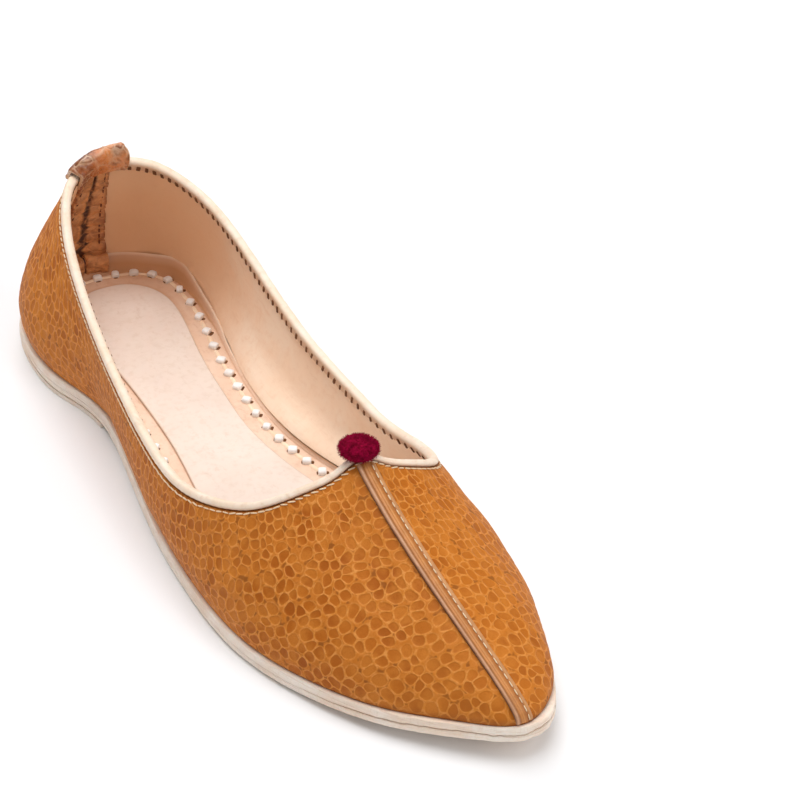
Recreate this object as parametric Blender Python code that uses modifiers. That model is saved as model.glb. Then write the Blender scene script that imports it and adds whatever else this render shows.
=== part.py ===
"""Mojari: a right-foot leather slip-on with a pointed toe, modelled as separate closed solids.

The shoe stands on z = 0 with its toe towards -Y. The tables give "along" from the back of the heel
towards the toe, and the distances from the heel's middle line to the foot's outer and inner side.
"""
import math

import bmesh
import bpy
import numpy as np
from mathutils import Vector

MM = 0.001
LENGTH = 270.0           # back of the heel to the tip of the toe
MIDDLE = 1.9             # the bounding box's middle lies this far to the inner side of the heel's line

# Sole: a thin heel lift, an outsole and a midsole, one above the other.
CLEAR = 0.3              # gap between pieces that touch
LIFT = 1.2
LIFT_END = 76.0
HEEL_ROUND = 34.0        # radius of the heel's back
HEEL_CENTRE = -1.6
OUTSOLE = 2.6
MIDSOLE_HEEL = 2.4
MIDSOLE_TOE = 2.4
ARCH_START, ARCH_END = 78.0, 150.0
SPRING_START = 195.0
TOE_SPRING = 6.9
TOE_ROUND = 12.0
TOE_CENTRE = (14.6, LENGTH - TOE_ROUND)
LIP = 1.6                # the sole shows this much beyond the upper

# Upper, binding and the strips sewn to them.
WALL = 1.8
BINDING_DEPTH = 3.2
BINDING_THICK = 3.4
BINDING_PROUD = 0.8
STRIP_WIDTH, STRIP_THICK, STRIP_SHIFT = 5.2, 1.0, 0.5
STRIP_FROM, STRIP_END = 5.0, 1.0
BACK_TOP, BACK_FOOT, BACK_THICK = 13.0, 17.5, 1.1
TAB_WIDTH, TAB_THICK, TAB_RISE = 20.0, 1.3, 4.0
SEAM_SHIFT = 2.6         # the back seam lies this far from the collar's back, to the outer side
TAB_LAP_OUT, TAB_LAP_IN = 7.0, 3.6
TAB_FOLD = 16.5          # the tab is narrower along its fold
POMPOM = (11.6, 11.6, 6.6)
POMPOM_RISE = 1.2        # its middle above the peak of the collar
SEAT_LIFT = 0.5          # the pompom's seat is cut this much above the binding
INSOLE = 1.2
PAD = 1.3
PAD_EDGE = 0.5

# Edge of the sole between its two round ends.
SOLE_SIDES = (
    # along, outer, inner
    (45.0, -34.9, 30.6),
    (62.0, -30.9, 27.2),
    (80.0, -28.3, 24.4),
    (105.0, -31.6, 23.4),
    (130.0, -35.7, 28.0),
    (150.0, -38.0, 35.2),
    (172.0, -38.9, 42.2),
    (192.0, -37.8, 43.8),
    (212.0, -32.5, 42.8),
    (232.0, -23.4, 39.0),
    (249.0, -11.8, 33.3),
)

# Edge of the padded middle of the insole; its heel end is round.
PAD_SIDES = (
    # along, outer, inner
    (32.0, -16.8, 16.6),
    (63.0, -16.3, 12.3),
    (92.0, -16.4, 9.2),
    (110.0, -17.4, 8.6),
    (136.0, -20.9, 12.0),
    (165.0, -25.8, 23.8),
    (190.0, -27.5, 32.5),
    (215.0, -21.0, 31.5),
)
PAD_BACK, PAD_FRONT = 14.0, 236.0

# Top line of the upper, from the back of the heel to the peak under the pompom.
COLLAR = (
    # outer along, outer, inner along, inner, height
    (13.4, 1.5, 13.4, 1.5, 56.6),
    (16.0, -8.1, 16.1, 11.4, 56.1),
    (22.6, -14.5, 22.8, 19.4, 54.4),
    (36.0, -20.6, 37.0, 25.9, 50.6),
    (55.4, -25.8, 56.6, 29.2, 45.2),
    (80.0, -29.8, 81.5, 29.9, 38.9),
    (106.0, -32.7, 108.5, 30.3, 34.2),
    (130.2, -34.8, 133.1, 31.8, 31.9),
    (149.0, -35.0, 152.0, 32.6, 31.6),
    (163.5, -32.6, 167.0, 33.8, 34.0),
    (174.4, -28.3, 178.0, 32.8, 37.0),
    (182.4, -22.1, 186.1, 28.2, 41.0),
    (188.4, -11.6, 190.6, 18.3, 46.9),
    (190.6, -4.2, 191.2, 10.0, 50.8),
    (191.0, 2.9, 191.0, 2.9, 54.5),
)

# Shape of the wall below each row of COLLAR: where its foot lies on each side of the sole, how it
# leaves the sole (bulge outwards, rise) and how it reaches the collar (share of the way back, drop,
# push outwards, swing to the inner side).
WALLS = (
    # outer foot, inner foot, outer bulge, inner bulge, rise, reach, drop, push, swing
    (1.0, 1.0, 5.5, 5.5, 15.0, 0.00, 12.0, 5.0, 0.0),
    (4.6, 4.6, 5.5, 5.5, 15.0, 0.00, 12.0, 5.0, 0.0),
    (13.5, 13.5, 6.5, 5.5, 14.0, 0.02, 12.0, 5.0, 0.0),
    (31.0, 31.0, 7.0, 6.0, 13.0, 0.04, 12.0, 4.0, 0.0),
    (53.0, 53.0, 6.0, 6.0, 12.0, 0.10, 12.0, 2.0, 0.0),
    (79.0, 79.0, 5.5, 5.5, 10.0, 0.10, 10.0, 1.5, 0.0),
    (106.0, 106.0, 5.5, 5.5, 9.0, 0.10, 9.0, 1.5, 0.0),
    (131.0, 131.0, 5.0, 5.0, 8.5, 0.15, 8.5, 1.5, 0.0),
    (153.0, 155.0, 4.5, 4.5, 8.5, 0.20, 8.5, 2.0, 0.0),
    (175.0, 178.0, 4.0, 4.5, 9.5, 0.28, 8.5, 2.0, 0.0),
    (198.0, 201.0, 3.5, 6.0, 11.0, 0.36, 9.5, 1.0, 0.0),
    (220.0, 224.0, 3.0, 6.8, 12.0, 0.38, 11.0, 0.0, -1.0),
    (241.0, 245.0, 2.5, 5.4, 12.0, 0.38, 13.0, 0.0, -3.0),
    (257.0, 259.0, 2.0, 3.4, 10.0, 0.38, 14.0, 0.0, -4.5),
    (LENGTH - LIP, LENGTH - LIP, 1.5, 1.5, 7.5, 0.38, 15.0, 0.0, -5.0),
)

COLOURS = {
    # base colour, roughness
    "pale": ((0.74, 0.58, 0.44), 0.75),
    "tan": ((0.47, 0.19, 0.05), 0.5),
    "cream": ((0.85, 0.68, 0.48), 0.5),
    "peach": ((0.64, 0.40, 0.26), 0.6),
    "pad": ((0.83, 0.69, 0.52), 0.6),
    "brown": ((0.30, 0.12, 0.05), 0.55),
    "maroon": ((0.15, 0.005, 0.03), 0.95),
}


def clear_scene():
    for old in list(bpy.data.objects):
        bpy.data.objects.remove(old, do_unlink=True)


def collection(name):
    group = bpy.data.collections.get(name) or bpy.data.collections.new(name)
    if name not in bpy.context.scene.collection.children:
        bpy.context.scene.collection.children.link(group)
    return group


def material(name):
    colour, roughness = COLOURS[name]
    made = bpy.data.materials.get(name) or bpy.data.materials.new(name)
    made.use_nodes = True
    shader = made.node_tree.nodes["Principled BSDF"]
    shader.inputs["Base Color"].default_value = (*colour, 1.0)
    shader.inputs["Roughness"].default_value = roughness
    shader.inputs["Metallic"].default_value = 0.0
    return made


# ---------------------------------------------------------------- curves and surfaces, in millimetres

def closed_spline(points, at):
    """Smooth closed curve through the rows of points, read at the row numbers in at."""
    points = np.asarray(points, float)
    count = len(points)
    matrix = 4.0 * np.eye(count) + np.roll(np.eye(count), 1, axis=0) + np.roll(np.eye(count), -1, axis=0)
    second = np.linalg.solve(matrix, 6.0 * (np.roll(points, 1, axis=0) - 2.0 * points
                                           + np.roll(points, -1, axis=0)))
    at = np.asarray(at, float) % count
    low = np.floor(at).astype(int) % count
    high = (low + 1) % count
    part = (at - np.floor(at))[:, None]
    rest = 1.0 - part
    return (rest * points[low] + part * points[high]
            + ((rest ** 3 - rest) * second[low] + (part ** 3 - part) * second[high]) / 6.0)


def even_loop(points, count):
    """Closed outline through the points, resampled at an even spacing; it starts at the first point."""
    dense = closed_spline(points, np.linspace(0.0, len(points), 40 * len(points) + 1))
    steps = np.hypot(*np.diff(dense, axis=0).T)
    length = np.concatenate(([0.0], np.cumsum(steps)))
    wanted = np.linspace(0.0, length[-1], count, endpoint=False)
    return np.stack([np.interp(wanted, length, dense[:, axis]) for axis in range(2)], axis=1)


def inset_loop(loop, amount):
    """The closed outline moved inwards by the amount."""
    step = np.roll(loop, -1, axis=0) - np.roll(loop, 1, axis=0)
    step /= np.linalg.norm(step, axis=1)[:, None]
    return loop + amount * np.stack([step[:, 1], -step[:, 0]], axis=1)


def sole_loop(count=160):
    """Outline of the sole as (across, along), from the heel's back along the outer side to the toe."""
    heel = [(HEEL_CENTRE - HEEL_ROUND * math.sin(a), HEEL_ROUND * (1.0 - math.cos(a)))
            for a in np.radians((0.0, 22.0, 44.0, 66.0))]
    toe = [(TOE_CENTRE[0] - TOE_ROUND * math.sin(a), TOE_CENTRE[1] + TOE_ROUND * math.cos(a))
           for a in np.radians((44.0, 0.0, -48.0))]
    outer = [(row[1], row[0]) for row in SOLE_SIDES]
    inner = [(row[2], row[0]) for row in reversed(SOLE_SIDES)]
    back = [(2.0 * HEEL_CENTRE - across, along) for across, along in reversed(heel[1:])]
    return even_loop(heel + outer + toe + inner + back, count)


def bottom_height(along):
    """Underside of the outsole: flat heel on its lift, hollow arch, flat forefoot, sprung toe."""
    along = np.asarray(along, float)
    fall = np.clip((ARCH_END - along) / (ARCH_END - ARCH_START), 0.0, 1.0)
    arch = (LIFT + CLEAR) * (3.0 * fall ** 2 - 2.0 * fall ** 3)
    spring = np.clip((along - SPRING_START) / (LENGTH - SPRING_START), 0.0, 1.0)
    return arch + TOE_SPRING * spring ** 2


def midsole_thickness(along):
    return np.interp(along, (LIFT_END, ARCH_END), (MIDSOLE_HEEL, MIDSOLE_TOE))


def sole_top(along):
    return bottom_height(along) + OUTSOLE + CLEAR + midsole_thickness(along)


def wall_controls():
    """Four control rows (foot, low, high, collar) at each station round the whole collar."""
    foot_line = inset_loop(sole_loop(480), LIP)
    toe = int(np.argmax(foot_line[:, 1]))
    outer_line = foot_line[:toe + 1]
    inner_line = np.concatenate((foot_line[:1], foot_line[:toe - 1:-1]))
    stations = []
    for side, line in ((0, outer_line), (1, inner_line)):
        rows = []
        for top, wall in zip(COLLAR, WALLS):
            along = wall[side]
            across = np.interp(along, line[:, 1], line[:, 0])
            foot = np.array((across, along, sole_top(along) + CLEAR))
            collar = np.array((top[1 + 2 * side], top[2 * side], top[4]))
            near = int(np.argmin(np.hypot(line[:, 0] - across, line[:, 1] - along)))
            before, after = line[max(near - 2, 0)], line[min(near + 2, len(line) - 1)]
            run = (after - before) / np.linalg.norm(after - before)
            out = np.array((-run[1], run[0], 0.0)) if side == 0 else np.array((run[1], -run[0], 0.0))
            if top is COLLAR[0]:
                out = np.array((0.0, -1.0, 0.0))
            if top is COLLAR[-1]:
                out = np.array((0.0, 1.0, 0.0))
            bulge = wall[2 + side]
            rise, reach, drop, push, swing = wall[4:]
            low = foot + bulge * out + (0.0, 0.0, rise)
            way = (foot - collar) * (1.0, 1.0, 0.0)
            high = collar + reach * way + push * out + (swing, 0.0, -drop)
            rows.append((foot, low, high, collar))
        stations.append(rows)
    outer, inner = stations
    return np.array(outer + inner[-2:0:-1])


class Wall:
    """Outer surface of the upper, as rulings from the sole up to the collar."""

    FINE = 81

    def __init__(self):
        self.controls = wall_controls()
        self.count = len(self.controls)
        self.peak = (self.count // 2)

    def rulings(self, at):
        """Dense rulings at the stations in at: array of (station, step, xyz), from collar to foot."""
        rows = [closed_spline(self.controls[:, k], at) for k in range(4)]
        v = np.linspace(1.0, 0.0, self.FINE)[None, :, None]
        foot, low, high, collar = (row[:, None, :] for row in rows)
        return ((1 - v) ** 3 * foot + 3 * v * (1 - v) ** 2 * low
                + 3 * v ** 2 * (1 - v) * high + v ** 3 * collar)

    def normals(self, at):
        """Outward normals of the rulings."""
        small = 0.02
        along = self.rulings(np.asarray(at) + small) - self.rulings(np.asarray(at) - small)
        down = np.gradient(self.rulings(at), axis=1)
        normal = np.cross(along, down)
        return normal / np.linalg.norm(normal, axis=2)[:, :, None]

    def grid(self, at, depths, offset=0.0):
        """Points at the given depths below the collar, moved outwards by the offset.

        A depth is in millimetres along the ruling; one below 0 counts up from the foot instead.
        """
        points = self.rulings(at)
        moved = points + offset * self.normals(at)
        out = []
        for ruling, shifted in zip(points, moved):
            steps = np.linalg.norm(np.diff(ruling, axis=0), axis=1)
            length = np.concatenate(([0.0], np.cumsum(steps)))
            wanted = depths(length[-1])
            out.append(np.stack([np.interp(wanted, length, shifted[:, k]) for k in range(3)], axis=1))
        return np.array(out)


def world(point):
    across, along, height = point
    return Vector(((across - MIDDLE) * MM, (0.5 * LENGTH - along) * MM, height * MM))


# ---------------------------------------------------------------- meshes

def add_object(name, verts, faces, colour, group, smooth=40.0):
    mesh = bpy.data.meshes.new(name)
    mesh.from_pydata([tuple(v) for v in verts], [], faces)
    mesh.validate()
    made = bpy.data.objects.new(name, mesh)
    group.objects.link(made)
    mesh.materials.append(material(colour))
    face_outwards(mesh)
    mesh.shade_smooth()
    mesh.set_sharp_from_angle(angle=math.radians(smooth))
    return made


def face_outwards(mesh):
    """Turn the faces of a closed mesh outwards; an open sheet keeps its own side."""
    shape = bmesh.new()
    shape.from_mesh(mesh)
    if all(edge.is_manifold for edge in shape.edges):
        bmesh.ops.recalc_face_normals(shape, faces=shape.faces)
        shape.to_mesh(mesh)
    shape.free()


def sheet(grid, closed=False):
    """Vertices and quads of a grid of points; closed joins its last column to the first."""
    columns, rows = grid.shape[:2]
    verts = [world(p) for p in grid.reshape(-1, 3)]
    faces = []
    for i in range(columns if closed else columns - 1):
        j = (i + 1) % columns
        for k in range(rows - 1):
            faces.append((i * rows + k, i * rows + k + 1, j * rows + k + 1, j * rows + k))
    return verts, faces


def solidify(made, thickness, offset):
    shell = made.modifiers.new("wall", "SOLIDIFY")
    shell.thickness = thickness * MM
    shell.offset = offset
    shell.use_even_offset = True
    return shell


def bevel(made, width, segments, angle=40.0):
    edge = made.modifiers.new("edges", "BEVEL")
    edge.width = width * MM
    edge.segments = segments
    edge.limit_method = "ANGLE"
    edge.angle_limit = math.radians(angle)
    return edge


def slab(name, loop, low, high, colour, group, edge=0.0):
    """Solid between two heights that follow the length of the shoe, within a closed outline.

    The outline's two sides are joined by cross rows, so the faces bend with the toe spring.
    """
    count = len(loop)
    half = count // 2
    ring = [(p, side) for side in (low, high) for p in loop]
    verts = [world((p[0], p[1], float(side(p[1])))) for p, side in ring]
    faces = []
    for i in range(count):
        j = (i + 1) % count
        faces.append((i, j, count + j, count + i))
    for base, flip in ((0, True), (count, False)):
        for i in range(half):
            a, b = base + i, base + i + 1
            c, d = base + (count - i - 1) % count, base + (count - i) % count
            face = (a, b, c) if i == 0 else (a, b, c, d)
            if i == half - 1:
                face = (a, b, d)
            faces.append(face[::-1] if flip else face)
    made = add_object(name, verts, faces, colour, group)
    if edge:
        bevel(made, edge, 2)
    return made


def centred_loop(loop):
    """Resample a closed outline so that its two sides have points at the same places along."""
    toe = int(np.argmax(loop[:, 1]))
    outer = loop[:toe + 1]
    inner = np.concatenate((loop[:1], loop[:toe - 1:-1]))
    share = 0.5 - 0.5 * np.cos(np.linspace(0.0, math.pi, 37))
    rows = []
    start, end = outer[0, 1], outer[-1, 1]
    for line in (outer, inner):
        alongs = start + (end - start) * share
        rows.append([(float(np.interp(a, line[:, 1], line[:, 0])), float(a)) for a in alongs])
    return np.array(rows[0] + rows[1][-2:0:-1])


# ---------------------------------------------------------------- the pieces

def make_sole(group):
    outline = centred_loop(sole_loop(960))
    slab("outsole", outline, bottom_height, lambda a: bottom_height(a) + OUTSOLE, "pale", group, 0.5)
    slab("midsole", centred_loop(inset_loop(sole_loop(960), 0.4)),
         lambda a: bottom_height(a) + OUTSOLE + CLEAR, sole_top, "pale", group, 0.5)
    heel = inset_loop(sole_loop(960), 0.3)
    heel = heel[heel[:, 1] < LIFT_END]
    split = int(np.argmax(np.hypot(*np.diff(heel, axis=0).T))) + 1
    outer, inner = heel[:split], heel[split:][::-1]
    alongs = heel[:, 1].min() + (LIFT_END - heel[:, 1].min()) * (1 - np.cos(np.linspace(0, math.pi / 2, 18)))
    order = np.argsort(outer[:, 1]), np.argsort(inner[:, 1])
    left = [(float(np.interp(a, outer[order[0], 1], outer[order[0], 0])), float(a)) for a in alongs]
    right = [(float(np.interp(a, inner[order[1], 1], inner[order[1], 0])), float(a)) for a in alongs]
    loop = np.array(left + right[:0:-1])
    verts = [world((p[0], p[1], z)) for z in (0.0, LIFT) for p in loop]
    count = len(loop)
    faces = [tuple(range(count))[::-1], tuple(range(count, 2 * count))]
    faces += [(i, (i + 1) % count, count + (i + 1) % count, count + i) for i in range(count)]
    add_object("heel_lift", verts, faces, "pale", group)


def make_upper(wall, group):
    at = np.linspace(0.0, wall.count, 90, endpoint=False)
    share = np.concatenate((np.linspace(0.0, 0.92, 10), (0.97, 1.0)))
    depth = BINDING_DEPTH + CLEAR
    grid = wall.grid(at, lambda full: depth + (full - depth) * share)
    verts, faces = sheet(grid, closed=True)
    upper = add_object("upper", verts, faces, "tan", group)
    solidify(upper, WALL, -1.0)
    return upper


def make_binding(wall, group):
    at = np.linspace(0.0, wall.count, 84, endpoint=False)
    rows = np.linspace(0.0, BINDING_DEPTH, 3)
    grid = wall.grid(at, lambda full: rows, BINDING_PROUD)
    verts, faces = sheet(grid, closed=True)
    binding = add_object("collar_binding", verts, faces, "cream", group)
    solidify(binding, BINDING_THICK, -1.0)
    bevel(binding, 1.1, 2, 50.0)


def make_insole(group):
    board = inset_loop(sole_loop(960), LIP + WALL + 2.0)
    low = lambda a: sole_top(a) + CLEAR
    slab("insole", centred_loop(board), low, lambda a: low(a) + INSOLE, "peach", group)
    back = [(0.0, PAD_BACK), (-9.5, PAD_BACK + 2.6)]
    front = [(-6.0, PAD_FRONT - 5.0), (9.0, PAD_FRONT), (22.0, PAD_FRONT - 6.0)]
    outer = [(row[1], row[0]) for row in PAD_SIDES]
    inner = [(row[2], row[0]) for row in reversed(PAD_SIDES)]
    outline = even_loop(back + outer + front + inner + [(9.5, PAD_BACK + 2.6)], 480)
    base = lambda a: low(a) + INSOLE + CLEAR
    slab("insole_pad", centred_loop(outline), base, lambda a: base(a) + PAD, "pad", group, PAD_EDGE)


def band(wall, middle, widths, depths, offset, count, shift):
    """Grid of a strip that follows the wall's rulings, centred on the station called middle.

    Its widths are those at its top and its bottom; shift moves it along the wall.
    """
    at = np.linspace(middle - 3.0, middle + 3.0, 121)
    rows = np.swapaxes(wall.grid(at, depths, offset), 0, 1)
    out = []
    for row, width in zip(rows, np.linspace(*widths, len(rows))):
        steps = np.linalg.norm(np.diff(row, axis=0), axis=1)
        length = np.concatenate(([0.0], np.cumsum(steps)))
        length -= length[len(at) // 2]
        wanted = np.linspace(-0.5 * width, 0.5 * width, count) + shift
        out.append(np.stack([np.interp(wanted, length, row[:, k]) for k in range(3)], axis=1))
    return np.swapaxes(np.array(out), 0, 1)


def make_vamp_strip(wall, group):
    """Strip down the middle of the vamp: laid on the wall's own surface and standing proud of it."""
    depths = lambda full: np.linspace(STRIP_FROM, full - STRIP_END, 24)
    widths = (STRIP_WIDTH / 0.9, STRIP_WIDTH)
    verts, faces = sheet(band(wall, wall.peak, widths, depths, CLEAR, 7, STRIP_SHIFT))
    strip = add_object("vamp_strip", verts, faces, "brown", group)
    solidify(strip, STRIP_THICK, 1.0)


def make_back_strip(wall, group):
    depths = lambda full: np.linspace(BINDING_DEPTH + 1.0, full - 4.6, 12)
    widths = (BACK_TOP, BACK_FOOT)
    verts, faces = sheet(band(wall, 0.0, widths, depths, -(WALL + CLEAR), 9, SEAM_SHIFT))
    strip = add_object("heel_strip", verts, faces, "brown", group)
    solidify(strip, BACK_THICK, -1.0)


def make_pull_tab(wall, group):
    """Leather tab folded over the binding at the back of the heel."""
    outside = BINDING_PROUD + CLEAR
    inside = outside - (BINDING_THICK + 2.0 * CLEAR)
    wide = (TAB_WIDTH, TAB_FOLD)
    fold = (TAB_FOLD, TAB_FOLD)
    flap = lambda full: np.linspace(TAB_LAP_OUT, 1.5, 4)
    lap = lambda full: np.linspace(1.5, TAB_LAP_IN, 3)
    rim = lambda full: np.array([0.0, 1.0])
    outer = band(wall, 0.0, wide, flap, outside, 9, SEAM_SHIFT)
    inner = band(wall, 0.0, fold, lap, inside, 9, SEAM_SHIFT)
    top_out = band(wall, 0.0, fold, rim, outside, 9, SEAM_SHIFT)
    top_in = band(wall, 0.0, fold, rim, inside, 9, SEAM_SHIFT)
    turn = np.linspace(0.0, math.pi, 7)
    columns = []
    for c in range(9):
        up = top_out[c, 0] - top_out[c, 1]
        up /= np.linalg.norm(up)
        middle = 0.5 * (top_out[c, 0] + top_in[c, 0])
        reach = 0.5 * (top_out[c, 0] - top_in[c, 0])
        arch = [middle + reach * math.cos(t) + up * (CLEAR + TAB_RISE * math.sin(t)) for t in turn]
        columns.append(list(outer[c]) + arch + list(inner[c]))
    verts, faces = sheet(np.array(columns))
    tab = add_object("pull_tab", verts, faces, "brown", group)
    solidify(tab, TAB_THICK, -1.0)


def make_pompom(wall, group, cutters):
    """Felt ball on the peak of the collar, hollowed underneath to sit over the binding and strip."""
    top = wall.controls[wall.peak, 3]
    mesh = bpy.data.meshes.new("pompom")
    shape = bmesh.new()
    bmesh.ops.create_uvsphere(shape, u_segments=24, v_segments=14, radius=0.5)
    bmesh.ops.scale(shape, vec=[size * MM for size in POMPOM], verts=shape.verts)
    shape.to_mesh(mesh)
    shape.free()
    ball = bpy.data.objects.new("pompom", mesh)
    ball.location = world(top) + Vector((0.0, 0.0, POMPOM_RISE * MM))
    group.objects.link(ball)
    mesh.materials.append(material("maroon"))
    mesh.shade_smooth()

    at = np.linspace(wall.peak - 2.5, wall.peak + 2.5, 41)
    proud = CLEAR + STRIP_THICK + CLEAR
    grid = wall.grid(at, lambda full: np.linspace(0.0, 14.0, 8), proud)
    verts, faces = sheet(grid)
    seat = add_object("pompom_seat", verts, faces, "maroon", cutters)
    seat.location.z = SEAT_LIFT * MM
    solidify(seat, proud + BINDING_THICK - BINDING_PROUD + CLEAR, -1.0)
    seat.hide_render = True
    seat.display_type = "WIRE"
    cut = ball.modifiers.new("seat", "BOOLEAN")
    cut.object = seat
    cut.operation = "DIFFERENCE"


def main():
    clear_scene()
    group = collection("mojari")
    cutters = collection("cutters")
    wall = Wall()
    make_sole(group)
    make_upper(wall, group)
    make_binding(wall, group)
    make_insole(group)
    make_vamp_strip(wall, group)
    make_back_strip(wall, group)
    make_pull_tab(wall, group)
    make_pompom(wall, group, cutters)


main()
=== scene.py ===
"""Looks of the mojari: leather skin, lining, rolled binding, stitches, laced insole, sole and felt pompom.

Lengths are in millimetres until to_metres() turns them into the frame's metres. The tables give "along" from
the back of the heel towards the toe, and distances from the heel's middle line to the outer and inner side.
"""
import math

import bmesh
import bpy
import numpy as np
from mathutils import Matrix, Vector, noise


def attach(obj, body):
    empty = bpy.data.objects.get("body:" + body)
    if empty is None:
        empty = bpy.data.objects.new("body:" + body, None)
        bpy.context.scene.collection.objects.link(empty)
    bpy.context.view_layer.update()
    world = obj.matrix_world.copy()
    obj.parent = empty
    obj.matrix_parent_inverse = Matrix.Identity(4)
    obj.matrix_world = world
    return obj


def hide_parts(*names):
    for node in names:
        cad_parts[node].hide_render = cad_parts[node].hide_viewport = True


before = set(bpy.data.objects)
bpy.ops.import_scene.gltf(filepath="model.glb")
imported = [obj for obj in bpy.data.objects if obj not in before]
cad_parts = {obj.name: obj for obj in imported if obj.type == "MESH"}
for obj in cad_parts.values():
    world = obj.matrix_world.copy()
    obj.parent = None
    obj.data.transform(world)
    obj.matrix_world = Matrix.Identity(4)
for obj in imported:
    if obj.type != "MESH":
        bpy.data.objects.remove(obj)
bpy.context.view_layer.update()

MM = 0.001
LENGTH = 270.0           # back of the heel to the tip of the toe
MIDDLE = 1.9             # the frame's middle lies this far to the inner side of the heel's line
CLEAR = 0.3              # gap between pieces that touch

# Sole.
LIFT = 1.2
LIFT_END = 76.0
HEEL_ROUND = 34.0        # radius of the heel's back
HEEL_CENTRE = -1.6
OUTSOLE = 2.6
MIDSOLE_HEEL = 2.4
MIDSOLE_TOE = 2.4
ARCH_START, ARCH_END = 78.0, 150.0
SPRING_START = 195.0
TOE_SPRING = 6.9
TOE_ROUND = 12.0
TOE_CENTRE = (14.6, LENGTH - TOE_ROUND)
LIP = 1.6                # the sole shows this much beyond the upper
INSOLE = 1.2

# Upper and trim.
WALL = 1.8
SKIN = 0.85              # thickness of the tan leather, the rest of the wall is lining
BINDING_DEPTH = 3.2
STRIP_WIDTH, STRIP_SHIFT, STRIP_FROM = 5.2, 0.5, 5.0
BACK_TOP, BACK_FOOT = 13.0, 17.5
TAB_WIDTH, TAB_THICK = 20.0, 1.3
TAB_LAP_OUT, TAB_LAP_IN = 7.0, 3.6
TAB_TOP = 19.0
SEAM_SHIFT = 2.6         # the back seam lies this far from the collar's back, to the outer side
POMPOM = (11.6, 11.6, 6.6)
POMPOM_RISE = 1.2        # its middle above the peak of the collar
STITCH_PITCH, VAMP_PITCH, HEEL_PITCH = 2.35, 2.5, 2.4

SOLE_SIDES = (
    # along, outer, inner
    (45.0, -34.9, 30.6),
    (62.0, -30.9, 27.2),
    (80.0, -28.3, 24.4),
    (105.0, -31.6, 23.4),
    (130.0, -35.7, 28.0),
    (150.0, -38.0, 35.2),
    (172.0, -38.9, 42.2),
    (192.0, -37.8, 43.8),
    (212.0, -32.5, 42.8),
    (232.0, -23.4, 39.0),
    (249.0, -11.8, 33.3),
)

PAD_SIDES = (
    # along, outer, inner
    (32.0, -16.8, 16.6),
    (63.0, -16.3, 12.3),
    (92.0, -16.4, 9.2),
    (110.0, -17.4, 8.8),
    (136.0, -20.9, 13.4),
    (165.0, -25.8, 23.8),
    (190.0, -27.5, 32.5),
    (215.0, -21.0, 31.5),
)
PAD_BACK, PAD_FRONT = 14.0, 236.0

# Top line of the upper, from the back of the heel to the peak under the pompom.
COLLAR = (
    # outer along, outer, inner along, inner, height
    (13.4, 1.5, 13.4, 1.5, 56.6),
    (16.0, -8.1, 16.1, 11.4, 56.1),
    (22.6, -14.5, 22.8, 19.4, 54.4),
    (36.0, -20.6, 37.0, 25.9, 50.6),
    (55.4, -25.8, 56.6, 29.2, 45.2),
    (80.0, -29.8, 81.5, 29.9, 38.9),
    (106.0, -32.7, 108.5, 30.3, 34.2),
    (130.2, -34.8, 133.1, 31.8, 31.9),
    (149.0, -35.0, 152.0, 32.6, 31.6),
    (163.5, -32.6, 167.0, 33.8, 34.0),
    (174.4, -28.3, 178.0, 32.8, 37.0),
    (182.4, -22.1, 186.1, 28.2, 41.0),
    (188.4, -11.6, 190.6, 18.3, 46.9),
    (190.6, -4.2, 191.2, 10.0, 50.8),
    (191.0, 2.9, 191.0, 2.9, 54.5),
)

# Shape of the wall below each row of COLLAR: where its foot lies on each side of the sole, how it
# leaves the sole (bulge outwards, rise) and how it reaches the collar (share of the way back, drop,
# push outwards, swing to the inner side).
WALLS = (
    # outer foot, inner foot, outer bulge, inner bulge, rise, reach, drop, push, swing
    (1.0, 1.0, 5.5, 5.5, 15.0, 0.00, 12.0, 5.0, 0.0),
    (4.6, 4.6, 5.5, 5.5, 15.0, 0.00, 12.0, 5.0, 0.0),
    (13.5, 13.5, 6.5, 5.5, 14.0, 0.02, 12.0, 5.0, 0.0),
    (31.0, 31.0, 7.0, 6.0, 13.0, 0.04, 12.0, 4.0, 0.0),
    (53.0, 53.0, 6.0, 6.0, 12.0, 0.10, 12.0, 2.0, 0.0),
    (79.0, 79.0, 5.5, 5.5, 10.0, 0.10, 10.0, 1.5, 0.0),
    (106.0, 106.0, 5.5, 5.5, 9.0, 0.10, 9.0, 1.5, 0.0),
    (131.0, 131.0, 5.0, 5.0, 8.5, 0.15, 8.5, 1.5, 0.0),
    (153.0, 155.0, 4.5, 4.5, 8.5, 0.20, 8.5, 2.0, 0.0),
    (175.0, 178.0, 4.0, 4.5, 9.5, 0.28, 8.5, 2.0, 0.0),
    (198.0, 201.0, 3.5, 6.0, 11.0, 0.36, 9.5, 1.0, 0.0),
    (220.0, 224.0, 3.0, 6.8, 12.0, 0.38, 11.0, 0.0, -1.0),
    (241.0, 245.0, 2.5, 5.4, 12.0, 0.38, 13.0, 0.0, -3.0),
    (257.0, 259.0, 2.0, 3.4, 10.0, 0.38, 14.0, 0.0, -4.5),
    (LENGTH - LIP, LENGTH - LIP, 1.5, 1.5, 7.5, 0.38, 15.0, 0.0, -5.0),
)


# ---------------------------------------------------------------- the shoe's own curves, in millimetres

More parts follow.
